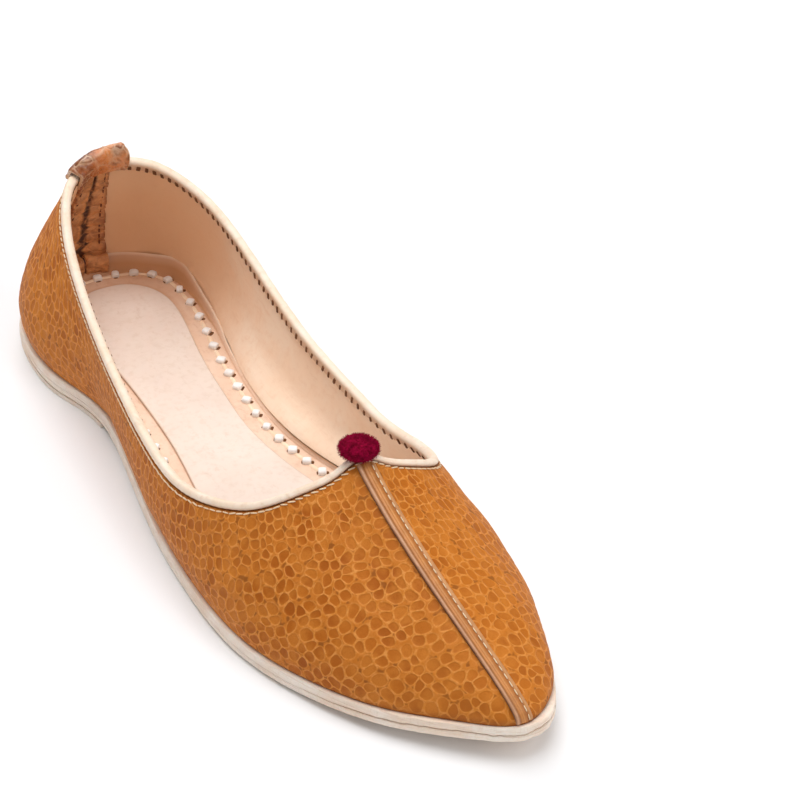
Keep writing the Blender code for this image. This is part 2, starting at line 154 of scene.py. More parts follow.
def closed_spline(points, at):
    """Smooth closed curve through the rows of points, read at the row numbers in at."""
    points = np.asarray(points, float)
    count = len(points)
    matrix = 4.0 * np.eye(count) + np.roll(np.eye(count), 1, axis=0) + np.roll(np.eye(count), -1, axis=0)
    second = np.linalg.solve(matrix, 6.0 * (np.roll(points, 1, axis=0) - 2.0 * points
                                           + np.roll(points, -1, axis=0)))
    at = np.asarray(at, float) % count
    low = np.floor(at).astype(int) % count
    high = (low + 1) % count
    part = (at - np.floor(at))[:, None]
    rest = 1.0 - part
    return (rest * points[low] + part * points[high]
            + ((rest ** 3 - rest) * second[low] + (part ** 3 - part) * second[high]) / 6.0)


def even_loop(points, count):
    """Closed outline through the points, resampled at an even spacing; it starts at the first point."""
    dense = closed_spline(points, np.linspace(0.0, len(points), 40 * len(points) + 1))
    steps = np.hypot(*np.diff(dense, axis=0).T)
    length = np.concatenate(([0.0], np.cumsum(steps)))
    wanted = np.linspace(0.0, length[-1], count, endpoint=False)
    return np.stack([np.interp(wanted, length, dense[:, axis]) for axis in range(2)], axis=1)


def inset_loop(loop, amount):
    """The closed outline moved inwards by the amount."""
    step = np.roll(loop, -1, axis=0) - np.roll(loop, 1, axis=0)
    step /= np.linalg.norm(step, axis=1)[:, None]
    return loop + amount * np.stack([step[:, 1], -step[:, 0]], axis=1)


def sole_loop(count=160):
    """Outline of the sole as (across, along), from the heel's back along the outer side to the toe."""
    heel = [(HEEL_CENTRE - HEEL_ROUND * math.sin(a), HEEL_ROUND * (1.0 - math.cos(a)))
            for a in np.radians((0.0, 22.0, 44.0, 66.0))]
    toe = [(TOE_CENTRE[0] - TOE_ROUND * math.sin(a), TOE_CENTRE[1] + TOE_ROUND * math.cos(a))
           for a in np.radians((44.0, 0.0, -48.0))]
    outer = [(row[1], row[0]) for row in SOLE_SIDES]
    inner = [(row[2], row[0]) for row in reversed(SOLE_SIDES)]
    back = [(2.0 * HEEL_CENTRE - across, along) for across, along in reversed(heel[1:])]
    return even_loop(heel + outer + toe + inner + back, count)


def bottom_height(along):
    """Underside of the outsole: flat heel on its lift, hollow arch, flat forefoot, sprung toe."""
    along = np.asarray(along, float)
    fall = np.clip((ARCH_END - along) / (ARCH_END - ARCH_START), 0.0, 1.0)
    arch = (LIFT + CLEAR) * (3.0 * fall ** 2 - 2.0 * fall ** 3)
    spring = np.clip((along - SPRING_START) / (LENGTH - SPRING_START), 0.0, 1.0)
    return arch + TOE_SPRING * spring ** 2


def midsole_thickness(along):
    return np.interp(along, (LIFT_END, ARCH_END), (MIDSOLE_HEEL, MIDSOLE_TOE))


def sole_top(along):
    return bottom_height(along) + OUTSOLE + CLEAR + midsole_thickness(along)


def wall_controls():
    """Four control rows (foot, low, high, collar) at each station round the whole collar."""
    foot_line = inset_loop(sole_loop(480), LIP)
    toe = int(np.argmax(foot_line[:, 1]))
    outer_line = foot_line[:toe + 1]
    inner_line = np.concatenate((foot_line[:1], foot_line[:toe - 1:-1]))
    stations = []
    for side, line in ((0, outer_line), (1, inner_line)):
        rows = []
        for top, wall in zip(COLLAR, WALLS):
            along = wall[side]
            across = np.interp(along, line[:, 1], line[:, 0])
            foot = np.array((across, along, sole_top(along) + CLEAR))
            collar = np.array((top[1 + 2 * side], top[2 * side], top[4]))
            near = int(np.argmin(np.hypot(line[:, 0] - across, line[:, 1] - along)))
            before, after = line[max(near - 2, 0)], line[min(near + 2, len(line) - 1)]
            run = (after - before) / np.linalg.norm(after - before)
            out = np.array((-run[1], run[0], 0.0)) if side == 0 else np.array((run[1], -run[0], 0.0))
            if top is COLLAR[0]:
                out = np.array((0.0, -1.0, 0.0))
            if top is COLLAR[-1]:
                out = np.array((0.0, 1.0, 0.0))
            bulge = wall[2 + side]
            rise, reach, drop, push, swing = wall[4:]
            low = foot + bulge * out + (0.0, 0.0, rise)
            way = (foot - collar) * (1.0, 1.0, 0.0)
            high = collar + reach * way + push * out + (swing, 0.0, -drop)
            rows.append((foot, low, high, collar))
        stations.append(rows)
    outer, inner = stations
    return np.array(outer + inner[-2:0:-1])


class Wall:
    """Outer surface of the upper, as rulings from the collar down to the sole."""

    FINE = 161

    def __init__(self):
        self.controls = wall_controls()
        self.count = len(self.controls)
        self.peak = self.count // 2

    def rulings(self, at):
        """Dense rulings at the stations in at: array of (station, step, xyz), from collar to foot."""
        rows = [closed_spline(self.controls[:, k], at) for k in range(4)]
        v = np.linspace(1.0, 0.0, self.FINE)[None, :, None]
        foot, low, high, collar = (row[:, None, :] for row in rows)
        return ((1 - v) ** 3 * foot + 3 * v * (1 - v) ** 2 * low
                + 3 * v ** 2 * (1 - v) * high + v ** 3 * collar)

    def normals(self, at):
        """Outward normals of the rulings."""
        small = 0.02
        along = self.rulings(np.asarray(at) + small) - self.rulings(np.asarray(at) - small)
        down = np.gradient(self.rulings(at), axis=1)
        return unit(np.cross(along, down))

    def surface(self, at, depths):
        """Points, outward normals and depths at the stations in at; depths(full) lists the depths in mm."""
        points, facings, asked = [], [], []
        for ruling, normal in zip(self.rulings(at), self.normals(at)):
            length = path_lengths(ruling)
            wanted = depths(length[-1])
            points.append(np.stack([np.interp(wanted, length, ruling[:, k]) for k in range(3)], axis=1))
            facings.append(np.stack([np.interp(wanted, length, normal[:, k]) for k in range(3)], axis=1))
            asked.append(wanted / length[-1])
        return np.array(points), unit(np.array(facings)), np.array(asked)

    def even_stations(self, count, share, first=None, last=None):
        """Stations at an even spacing along the line that lies at the share of the way down."""
        whole = first is None
        if whole:
            first, last = 0.0, float(self.count)
        dense = np.linspace(first, last, 60 * int(round(last - first)) + 1)
        line = self.rulings(dense)[:, int(round(share * (self.FINE - 1)))]
        length = path_lengths(line)
        wanted = np.linspace(0.0, length[-1], count, endpoint=not whole)
        return np.interp(wanted, length, dense)

    def collar_length(self):
        line = self.rulings(np.linspace(0.0, self.count, 1201))[:, 0]
        return float(np.linalg.norm(np.diff(line, axis=0), axis=1).sum())

    def collar_frames(self, at):
        """At the stations: point on the collar, way out, way down and way along."""
        points, facings, _ = self.surface(at, lambda full: np.array((0.0, 3.0)))
        down = unit(points[:, 1] - points[:, 0])
        out = facings[:, 1]
        out = unit(out - down * np.sum(out * down, axis=1)[:, None])
        return points[:, 0], out, down, np.cross(down, out)

    def band(self, middle, widths, depths, count, shift):
        """Points and normals of a strip centred on the station middle: array of (row, place across, xyz)."""
        at = np.linspace(middle - 3.0, middle + 3.0, 121)
        points, facings, _ = self.surface(at, depths)
        points, facings = np.swapaxes(points, 0, 1), np.swapaxes(facings, 0, 1)
        found, outs = [], []
        part = np.linspace(0.0, 1.0, len(points))
        for row, facing, width, move in zip(points, facings, widths(part), shift(part)):
            length = path_lengths(row)
            length -= length[len(at) // 2]
            wanted = np.linspace(-0.5 * width, 0.5 * width, count) + move
            found.append(np.stack([np.interp(wanted, length, row[:, k]) for k in range(3)], axis=1))
            outs.append(np.stack([np.interp(wanted, length, facing[:, k]) for k in range(3)], axis=1))
        return np.array(found), unit(np.array(outs))


def path_lengths(points):
    """Length of the path through the points, up to each of them."""
    return np.concatenate(([0.0], np.cumsum(np.linalg.norm(np.diff(points, axis=0), axis=1))))


def unit(vectors):
    return vectors / np.maximum(np.linalg.norm(vectors, axis=-1), 1e-9)[..., None]


def smooth_step(value, low, high):
    part = np.clip((np.asarray(value, float) - low) / (high - low), 0.0, 1.0)
    return part * part * (3.0 - 2.0 * part)


def centred_loop(loop, count):
    """Resample a closed outline so that its two sides have points at the same places along."""
    toe = int(np.argmax(loop[:, 1]))
    outer = loop[:toe + 1]
    inner = np.concatenate((loop[:1], loop[:toe - 1:-1]))
    share = 0.5 - 0.5 * np.cos(np.linspace(0.0, math.pi, count))
    alongs = outer[0, 1] + (outer[-1, 1] - outer[0, 1]) * share
    sides = [np.stack([np.interp(alongs, line[:, 1], line[:, 0]), alongs], axis=1) for line in (outer, inner)]
    return np.concatenate((sides[0], sides[1][-2:0:-1]))


def pad_outline(count):
    back = [(0.0, PAD_BACK), (-9.5, PAD_BACK + 2.6)]
    front = [(-6.0, PAD_FRONT - 5.0), (9.0, PAD_FRONT), (22.0, PAD_FRONT - 6.0)]
    outer = [(row[1], row[0]) for row in PAD_SIDES]
    inner = [(row[2], row[0]) for row in reversed(PAD_SIDES)]
    return even_loop(back + outer + front + inner + [(9.5, PAD_BACK + 2.6)], count)


def board_height(along):
    """Upper face of the insole board."""
    return sole_top(along) + CLEAR + INSOLE


# ---------------------------------------------------------------- meshes

def to_metres(points):
    """Points of (across, along, height) in millimetres, in the frame's metres."""
    points = np.asarray(points, float)
    return MM * np.stack([points[..., 0] - MIDDLE, 0.5 * LENGTH - points[..., 1], points[..., 2]], axis=-1)


def ripple(points, size, seed, depth=2):
    """Smooth noise from -1 to 1 at points in millimetres; size is a number or one for each axis."""
    scaled = np.asarray(points, float).reshape(-1, 3) / np.asarray(size, float) + 17.31 * seed
    values = [noise.fractal(Vector(p), 1.0, 2.0, depth) for p in scaled.tolist()]
    return np.clip(np.array(values).reshape(np.asarray(points).shape[:-1]), -1.5, 1.5)


def make_piece(name, points, faces, paint, nodes=(), values=None, smooth=50.0):
    """Object from points in millimetres; values gives its own numbers at each point, by name."""
    mesh = bpy.data.meshes.new(name)
    mesh.from_pydata(to_metres(points).reshape(-1, 3).tolist(), [], faces)
    for key, numbers in (values or {}).items():
        numbers = np.asarray(numbers, float)
        vector = numbers.ndim > 1 and numbers.shape[-1] == 3 and numbers.size == 3 * len(mesh.vertices)
        layer = mesh.attributes.new(key, "FLOAT_VECTOR" if vector else "FLOAT", "POINT")
        layer.data.foreach_set("vector" if vector else "value", numbers.ravel())
    shape = bmesh.new()
    shape.from_mesh(mesh)
    bmesh.ops.recalc_face_normals(shape, faces=shape.faces)
    shape.to_mesh(mesh)
    shape.free()
    mesh.shade_smooth()
    if smooth < 180.0:
        mesh.set_sharp_from_angle(angle=math.radians(smooth))
    mesh.materials.append(paint)
    piece = bpy.data.objects.new(name, mesh)
    bpy.context.scene.collection.objects.link(piece)
    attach(piece, "root")
    if nodes:
        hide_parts(*nodes)
    return piece


def loft_faces(sections, ring, closed=False):
    """Faces of a closed solid from sections of ring points each; closed joins the last to the first."""
    faces = []
    for i in range(sections if closed else sections - 1):
        j = (i + 1) % sections
        for k in range(ring):
            m = (k + 1) % ring
            faces.append((i * ring + k, i * ring + m, j * ring + m, j * ring + k))
    if not closed:
        last = (sections - 1) * ring
        faces.append(tuple(range(ring)))
        faces.append(tuple(range(last + ring - 1, last - 1, -1)))
    return faces


def slab(name, rings, paint, nodes=(), values=None, cross=8, relief=None):
    """Solid from closed rings stacked from the lower face round the edge to the upper face.

    Each face is filled with cross rows between the two sides of its ring, which is a centred outline.
    """
    count = rings.shape[1]
    half = count // 2
    points = list(rings.reshape(-1, 3))
    faces = []
    for level in range(len(rings) - 1):
        for i in range(count):
            j = (i + 1) % count
            a, b = level * count, (level + 1) * count
            faces.append((a + i, a + j, b + j, b + i))
    for level in (0, len(rings) - 1):
        base = level * count
        ring = rings[level]
        rows = []
        for i in range(1, half):
            row = [base + i]
            for k in range(1, cross):
                point = ring[i] + (ring[count - i] - ring[i]) * k / cross
                row.append(len(points))
                points.append(point)
            row.append(base + count - i)
            rows.append(row)
        for k in range(cross):
            faces.append((base, rows[0][k], rows[0][k + 1]))
            faces.append((base + half, rows[-1][k + 1], rows[-1][k]))
        for first, second in zip(rows, rows[1:]):
            for k in range(cross):
                faces.append((first[k], second[k], second[k + 1], first[k + 1]))
    points = np.array(points)
    if relief is not None:
        points = relief(points)
    if values is not None:
        values = values(points, count * len(rings))
    return make_piece(name, points, faces, paint, nodes, values)


def lozenge(rings=7, sides=8, square=2.0, end=0.35):
    """Points and faces of a rounded bar from -1 to 1 along x, of radius 1: a stitch or a bead."""
    points = []
    turn = np.linspace(0.0, 2.0 * math.pi, sides, endpoint=False)
    for x in np.sin(np.linspace(-0.5 * math.pi, 0.5 * math.pi, rings)):
        wide = end + (1.0 - end) * (1.0 - abs(x) ** 3) ** 0.5
        power = 2.0 / square
        y = wide * np.sign(np.cos(turn)) * np.abs(np.cos(turn)) ** power
        z = wide * np.sign(np.sin(turn)) * np.abs(np.sin(turn)) ** power
        points += [(x, float(a), float(b)) for a, b in zip(y, z)]
    return np.array(points), loft_faces(rings, sides)


def scatter(name, template, centres, alongs, outs, sizes, paint, slot, nodes=()):
    """One mesh of many copies of the template, each at its centre, turned along and out, and sized."""
    shape, own_faces = template
    sides = np.cross(outs, alongs)
    axes = np.stack([alongs, unit(sides), outs], axis=1) * sizes[:, :, None]
    points = centres[:, None, :] + np.einsum("pk,nkx->npx", shape, axes)
    faces = []
    for number in range(len(centres)):
        base = number * len(shape)
        faces += [tuple(base + corner for corner in face) for face in own_faces]
    tone = np.repeat(np.random.default_rng(len(centres)).random(len(centres)), len(shape))
    return make_piece(name, points.reshape(-1, 3), faces, paint, nodes, {"tone": tone})


# ---------------------------------------------------------------- node trees

def node(tree, kind, inputs=None, **settings):
    made = tree.nodes.new(kind)
    for key, value in settings.items():
        setattr(made, key, value)
    for key, value in (inputs or {}).items():
        if isinstance(value, bpy.types.NodeSocket):
            tree.links.new(value, made.inputs[key])
        else:
            made.inputs[key].default_value = value
    return made


def maths(tree, operation, *values):
    return node(tree, "ShaderNodeMath", dict(enumerate(values)), operation=operation).outputs[0]


def vectors(tree, operation, first, second):
    return node(tree, "ShaderNodeVectorMath", {0: first, 1: second}, operation=operation).outputs[0]


def ramp(tree, value, low, high, to_low=0.0, to_high=1.0, smooth=True):
    """The value from low to high, turned into to_low to to_high and held beyond."""
    kind = "SMOOTHSTEP" if smooth else "LINEAR"
    inputs = {"Value": value, "From Min": low, "From Max": high, "To Min": to_low, "To Max": to_high}
    return node(tree, "ShaderNodeMapRange", inputs, interpolation_type=kind).outputs[0]


def rgb(red, green, blue):
    """Colour from 0 to 255 as the linear colour that a shader takes."""
    parts = [value / 255.0 for value in (red, green, blue)]
    return [v / 12.92 if v <= 0.04045 else ((v + 0.055) / 1.055) ** 2.4 for v in parts] + [1.0]


def blend(tree, factor, first, second, kind="MIX"):
    inputs = {0: factor, 6: first, 7: second}
    made = node(tree, "ShaderNodeMix", inputs, data_type="RGBA", blend_type=kind)
    return made.outputs[2]


def noise_at(tree, where, size, detail=3.0, rough=0.55):
    """Noise from 0 to 1 with features of the given size in the units of where."""
    inputs = {"Vector": where, "Scale": 1.0 / size, "Detail": detail, "Roughness": rough}
    return node(tree, "ShaderNodeTexNoise", inputs).outputs[0]


def millimetres(tree, stretch=(1.0, 1.0, 1.0)):
    """Place on the shoe in millimetres; stretch above 1 makes what is drawn there shorter."""
    place = node(tree, "ShaderNodeTexCoord").outputs["Object"]
    scale = [1000.0 * value for value in stretch]
    return vectors(tree, "MULTIPLY", place, scale)


def number(tree, name):
    return node(tree, "ShaderNodeAttribute", attribute_name=name).outputs["Fac"]


def colours_along(tree, value, stops):
    """Colour ramp with stops of (place, colour)."""
    made = node(tree, "ShaderNodeValToRGB", {0: value})
    parts = made.color_ramp.elements
    parts[0].position, parts[0].color = stops[0][0], stops[0][1]
    parts[1].position, parts[1].color = stops[-1][0], stops[-1][1]
    for place, colour in stops[1:-1]:
        added = parts.new(place)
        added.color = colour
    return made.outputs["Color"]


TAN_DARK = rgb(164, 83, 14)
TAN = rgb(192, 106, 24)
TAN_VEIN = rgb(214, 132, 50)
TAN_PALE = rgb(228, 152, 76)


class Paint:
    """A material under construction: its tree, its place coordinate and its finish."""

    def __init__(self, name):
        self.material = bpy.data.materials.new(name)
        self.material.use_nodes = True
        self.tree = self.material.node_tree
        self.shader = self.tree.nodes["Principled BSDF"]
        self.place = millimetres(self.tree)
        self.height = None

    def noise(self, size, detail=3.0, rough=0.55, where=None):
        return noise_at(self.tree, where or self.place, size, detail, rough)

    def add_height(self, value, amount):
        """Adds the value, times the amount in millimetres, to the surface relief."""
        part = maths(self.tree, "MULTIPLY", value, amount)
        self.height = part if self.height is None else maths(self.tree, "ADD", self.height, part)

    def finish(self, colour, roughness, specular=0.5, sheen=0.0, coat=0.0, scatter=0.0):
        inputs = {"Height": self.height, "Strength": 1.0, "Distance": MM}
        bump = node(self.tree, "ShaderNodeBump", inputs).outputs[0]
        for key, value in (("Base Color", colour), ("Roughness", roughness), ("Normal", bump)):
            self.tree.links.new(value, self.shader.inputs[key])
        self.shader.inputs["Specular IOR Level"].default_value = specular
        self.shader.inputs["Sheen Weight"].default_value = sheen
        self.shader.inputs["Sheen Roughness"].default_value = 0.5
        self.shader.inputs["Coat Weight"].default_value = coat
        self.shader.inputs["Coat Roughness"].default_value = 0.35
        self.shader.inputs["Subsurface Weight"].default_value = scatter
        self.shader.inputs["Subsurface Scale"].default_value = 0.8 * MM
        return self.material


# ---------------------------------------------------------------- leathers, thread and felt

PEBBLE = 3.5             # pitch of the pebbles on the vamp


def pebbles(tree, grain):
    """Roundness of the pebbles, from 0 between them to 1 on top, a number for each one, and the corners."""
    bend = node(tree, "ShaderNodeTexNoise", {"Vector": grain, "Scale": 0.12, "Detail": 1.0}).outputs[1]
    bend = vectors(tree, "MULTIPLY", vectors(tree, "SUBTRACT", bend, (0.5, 0.5, 0.5)), (3.8, 3.8, 0.0))
    rag = node(tree, "ShaderNodeTexNoise", {"Vector": grain, "Scale": 0.55, "Detail": 2.0}).outputs[0]
    where = vectors(tree, "ADD", grain, bend)
    inputs = {"Vector": where, "Scale": 1.0 / PEBBLE, "Randomness": 0.6}
    near = node(tree, "ShaderNodeTexVoronoi", inputs, feature="F1", voronoi_dimensions="2D")
    second = node(tree, "ShaderNodeTexVoronoi", inputs, feature="F2", voronoi_dimensions="2D")
    own = node(tree, "ShaderNodeSeparateXYZ", {0: near.outputs["Color"]}).outputs[0]
    ratio = maths(tree, "DIVIDE", near.outputs["Distance"], second.outputs["Distance"])
    ratio = maths(tree, "ADD", ratio, ramp(tree, rag, 0.3, 0.7, -0.07, 0.07, False))
    disc = ramp(tree, ratio, 1.0, 0.46)
    small = ramp(tree, near.outputs["Distance"], 0.70, 0.36)
    corner = ramp(tree, near.outputs["Distance"], 0.50, 0.66)
    return maths(tree, "MULTIPLY", disc, small), own, corner


def pebbled_leather():
    """Tan leather: darker round pebbles with a paler ring round each and a middle tone between them."""
    paint = Paint("pebbled tan leather")
    tree = paint.tree
    grain = node(tree, "ShaderNodeAttribute", attribute_name="grain").outputs["Vector"]
    dome, own, corner = pebbles(tree, grain)
    rag = noise_at(tree, grain, 1.4, 3.0, 0.6)
    mottle = paint.noise(7.0, 3.0)
    broad = paint.noise(34.0, 2.0)
    fine = noise_at(tree, grain, 0.5, 4.0, 0.7)
    cell = blend(tree, ramp(tree, own, 0.0, 1.0, 0.0, 0.7), TAN_DARK, TAN)
    cell = blend(tree, ramp(tree, mottle, 0.38, 0.66, 0.0, 0.55), cell, TAN_VEIN)
    vein = blend(tree, ramp(tree, rag, 0.35, 0.65), TAN_VEIN, TAN_PALE)
    vein = blend(tree, maths(tree, "MULTIPLY", corner, 0.7), vein, TAN)
    colour = blend(tree, ramp(tree, dome, 0.08, 0.8), vein, cell)
    colour = blend(tree, ramp(tree, fine, 0.45, 0.8, 0.0, 0.5), colour, TAN_DARK)
    colour = blend(tree, ramp(tree, broad, 0.35, 0.7, 0.0, 0.3), colour, TAN_VEIN)
    pit = maths(tree, "MULTIPLY", corner, ramp(tree, paint.noise(2.2, 1.0), 0.52, 0.66, 0.0, 0.6))
    colour = blend(tree, pit, colour, rgb(116, 58, 14))
    # darker stitching channel below the binding, partly painted shade under the roll, and painted shade where
    # the upper meets the sole
    colour = blend(tree, number(tree, "channel_and_foot_shade"), colour, rgb(122, 70, 30))
    paint.add_height(dome, -0.12)
    paint.add_height(pit, -0.12)
    paint.add_height(fine, 0.08)
    paint.add_height(rag, 0.06)
    rough = ramp(tree, fine, 0.3, 0.8, 0.52, 0.68)
    return paint.finish(colour, rough, 0.15, coat=0.0)


def smooth_leather(name, base, pale, dark, mottle=14.0, wrinkle=0.06, stretch=(1.0, 1.0, 1.0), rough=0.6,
                   edge_colour=None, scatter=0.0, stain=None):
    """Plain leather: cloudy colour, pores and fine wrinkles drawn out along one direction."""
    paint = Paint(name)
    tree = paint.tree
    cloud = paint.noise(mottle, 3.0)
    small = paint.noise(2.2, 3.0, 0.6)
    drawn = millimetres(tree, stretch)
    lines = noise_at(tree, drawn, 1.6, 3.0, 0.65)
    pores = paint.noise(0.5, 2.0, 0.7)
    colour = blend(tree, ramp(tree, cloud, 0.32, 0.68), base, pale)
    colour = blend(tree, ramp(tree, small, 0.45, 0.8, 0.0, 0.4), colour, dark)
    colour = blend(tree, ramp(tree, lines, 0.56, 0.74, 0.0, 0.4), colour, dark)
    # the first blend below is painted shade; the edge colour is painted shade on the binding and a painted
    # highlight on the insole's rim
    if stain:
        colour = blend(tree, number(tree, "stain"), colour, stain)
    if edge_colour:
        colour = blend(tree, number(tree, "edge"), colour, edge_colour)
    paint.add_height(lines, wrinkle)
    paint.add_height(pores, 0.03)
    paint.add_height(small, 0.04)
    return paint.finish(colour, ramp(tree, pores, 0.3, 0.7, rough - 0.07, rough + 0.08), 0.4, scatter=scatter)


def cracked_leather(name, stops, cell=3.2, stretch=(1.0, 1.0, 1.0), crack=0.16, pale=(214, 156, 118),
                    veins=0.8, gloss=0.05, clouds=0.5):
    """Leather with a net of cracks; stops colour it across the piece by its own tone."""
    paint = Paint(name)
    tree = paint.tree
    drawn = millimetres(tree, stretch)
    bend = node(tree, "ShaderNodeTexNoise", {"Vector": drawn, "Scale": 0.3, "Detail": 2.0}).outputs[1]
    bend = vectors(tree, "MULTIPLY", vectors(tree, "SUBTRACT", bend, (0.5, 0.5, 0.5)), (2.4, 2.4, 2.4))
    inputs = {"Vector": vectors(tree, "ADD", drawn, bend), "Scale": 1.0 / cell, "Randomness": 0.95}
    net = node(tree, "ShaderNodeTexVoronoi", inputs, feature="DISTANCE_TO_EDGE").outputs["Distance"]
    cloud = paint.noise(4.0, 3.0)
    fine = paint.noise(0.6, 3.0, 0.7)
    plate = ramp(tree, net, 0.015, 0.14)
    colour = colours_along(tree, number(tree, "tone"), stops)
    colour = blend(tree, ramp(tree, cloud, 0.38, 0.66, 0.0, clouds), colour, rgb(112, 58, 26))
    line = ramp(tree, net, 0.0, 0.10, 1.0, 0.0)
    vein = maths(tree, "MULTIPLY", line, ramp(tree, cloud, 0.3, 0.65, 0.15 * veins, veins))
    colour = blend(tree, vein, colour, rgb(*pale))
    colour = blend(tree, ramp(tree, fine, 0.5, 0.85, 0.0, 0.35), colour, rgb(92, 48, 22))
    colour = blend(tree, number(tree, "edge"), colour, rgb(222, 178, 138))
    paint.add_height(plate, crack)
    paint.add_height(fine, 0.06)
    rough = 0.42 - 0.4 * gloss
    return paint.finish(colour, ramp(tree, fine, 0.3, 0.8, rough, rough + 0.18), 0.45, coat=gloss)


def raw_leather(name, base, pale, dark):
    """Cut edge of thick vegetable-tanned leather: fibres that run along the edge, faint layers, cloudy
    colour, and stain with painted shade in the seam between the layers.
    """
    paint = Paint(name)
    tree = paint.tree
    layers = noise_at(tree, millimetres(tree, (0.06, 0.06, 1.8)), 0.7, 4.0, 0.65)
    fibres = noise_at(tree, millimetres(tree, (1.0, 1.0, 0.25)), 0.5, 3.0, 0.7)
    cloud = paint.noise(11.0, 3.0)
    colour = blend(tree, ramp(tree, cloud, 0.35, 0.65), base, pale)
    colour = blend(tree, ramp(tree, layers, 0.5, 0.72, 0.0, 0.55), colour, dark)
    colour = blend(tree, ramp(tree, fibres, 0.5, 0.8, 0.0, 0.35), colour, dark)
    # stain and painted shade in the seam between the layers, by the edge attribute
    colour = blend(tree, number(tree, "edge"), colour, rgb(150, 110, 80))
    paint.add_height(layers, 0.22)
    paint.add_height(fibres, 0.12)
    return paint.finish(colour, ramp(tree, fibres, 0.3, 0.8, 0.62, 0.8), 0.3, scatter=0.05)


def plain_fibre(name, base, dark, size=0.35, rough=0.7, sheen=0.1, relief=0.05):
    """Thread, lace and other small trim, with a shade of its own for each piece of it."""
    paint = Paint(name)
    tree = paint.tree
    fine = paint.noise(size, 3.0, 0.7)
    soft = paint.noise(2.4, 2.0)
    colour = blend(tree, ramp(tree, number(tree, "tone"), 0.0, 1.0, 0.0, 0.35), base, dark)
    colour = blend(tree, ramp(tree, soft, 0.4, 0.75, 0.0, 0.4), colour, dark)
    paint.add_height(fine, relief)
    paint.add_height(soft, 0.05)
    return paint.finish(colour, ramp(tree, fine, 0.3, 0.8, rough - 0.08, rough + 0.1), 0.35, sheen=sheen)


def felt():
    paint = Paint("maroon felt")
    tree = paint.tree
    wool = paint.noise(0.35, 4.0, 0.75)
    tufts = paint.noise(1.3, 3.0, 0.6)
    colour = blend(tree, ramp(tree, tufts, 0.35, 0.65), rgb(124, 3, 36), rgb(168, 8, 62))
    colour = blend(tree, ramp(tree, wool, 0.5, 0.8, 0.0, 0.6), colour, rgb(84, 0, 18))
    colour = blend(tree, ramp(tree, number(tree, "tone"), 0.0, 1.0, 0.0, 0.5), colour, rgb(176, 20, 70))
    paint.add_height(wool, 0.3)
    paint.add_height(tufts, 0.25)
    return paint.finish(colour, ramp(tree, wool, 0.3, 0.8, 0.8, 0.95), 0.08)


def floor_paint():
    paint = Paint("pale floor")
    tree = paint.tree
    cloud = paint.noise(400.0, 2.0)
    colour = blend(tree, cloud, rgb(246, 246, 248), rgb(250, 250, 251))
    paint.add_height(paint.noise(60.0, 1.0), 0.02)
    return paint.finish(colour, ramp(tree, cloud, 0.0, 1.0, 0.8, 0.9), 0.1)


# ---------------------------------------------------------------- the upper

# Soft creases: station and share of the way down at both ends, sideways bow, width and depth in mm.
CREASES = (
    (8.6, 0.45, 10.2, 0.30, 3.0, 5.0, 0.45),
    (9.6, 0.70, 11.2, 0.52, 3.0, 6.0, 0.40),
    (19.0, 0.45, 17.6, 0.30, 3.0, 5.0, 0.40),
    (18.0, 0.72, 16.8, 0.50, 3.0, 6.0, 0.35),
    (5.6, 0.35, 6.6, 0.75, 2.0, 6.0, 0.45),
    (3.2, 0.40, 4.2, 0.80, 2.0, 7.0, 0.35),
    (1.2, 0.55, 2.4, 0.80, 2.0, 7.0, 0.40),
    (22.6, 0.35, 21.6, 0.75, 2.0, 6.0, 0.40),
    (26.4, 0.55, 25.2, 0.80, 2.0, 7.0, 0.40),
    (12.6, 0.80, 13.4, 0.62, 2.0, 7.0, 0.30),
)
SHEET_COLUMNS, SHEET_ROWS = 141, 15


def flat_pattern(wall):
    """The upper laid flat: places in mm at even stations and shares of the way down.

    The pattern is turned so that its second number runs forwards along the ridge, from the peak.
    """
    at = np.linspace(0.0, wall.count, SHEET_COLUMNS)
    share = np.linspace(0.0, 1.0, SHEET_ROWS)
    points = to_metres(wall.surface(at, lambda full: full * share)[0])
    mesh = bpy.data.meshes.new("flat pattern")
    rows = SHEET_ROWS
    faces = [(i * rows + k, i * rows + k + 1, (i + 1) * rows + k + 1, (i + 1) * rows + k)
             for i in range(SHEET_COLUMNS - 1) for k in range(rows - 1)]
    mesh.from_pydata(points.reshape(-1, 3).tolist(), [], faces)
    mesh.uv_layers.new(name="flat")
    pattern = bpy.data.objects.new("flat pattern", mesh)
    bpy.context.scene.collection.objects.link(pattern)
    bpy.context.view_layer.objects.active = pattern
    pattern.select_set(True)
    bpy.ops.object.mode_set(mode="EDIT")
    bpy.ops.mesh.select_all(action="SELECT")
    bpy.ops.uv.unwrap(method="MINIMUM_STRETCH", margin=0.0)
    bpy.ops.object.mode_set(mode="OBJECT")
    flat = np.zeros((SHEET_COLUMNS * rows, 2))
    for loop, uv in zip(mesh.loops, mesh.uv_layers[0].data):
        flat[loop.vertex_index] = uv.uv
    bpy.data.objects.remove(pattern)
    flat = flat.reshape(SHEET_COLUMNS, rows, 2)
    real = np.linalg.norm(np.diff(points, axis=1), axis=2).sum()
    drawn = np.linalg.norm(np.diff(flat, axis=1), axis=2).sum()
    peak = SHEET_COLUMNS // 2
    flat = (flat - flat[peak, 0]) * real / drawn / MM
    ahead = unit(flat[peak, -1] - flat[peak, 0])
    aside = np.array((ahead[1], -ahead[0]))
    return np.stack([flat @ aside, flat @ ahead], axis=2)


def stretch_pattern(flat):
    """Draws the grain out: pebbles on the quarters and round the heel are narrow and tall."""
    aside, ahead = flat[..., 0], flat[..., 1]
    back = smooth_step(ahead, 0.0, -70.0)
    squeezed = aside * (1.0 - 0.45 * back)
    drawn = ahead + 0.45 * np.minimum(ahead + 20.0, 0.0)
    return np.stack([squeezed, drawn, np.zeros_like(aside)], axis=-1)


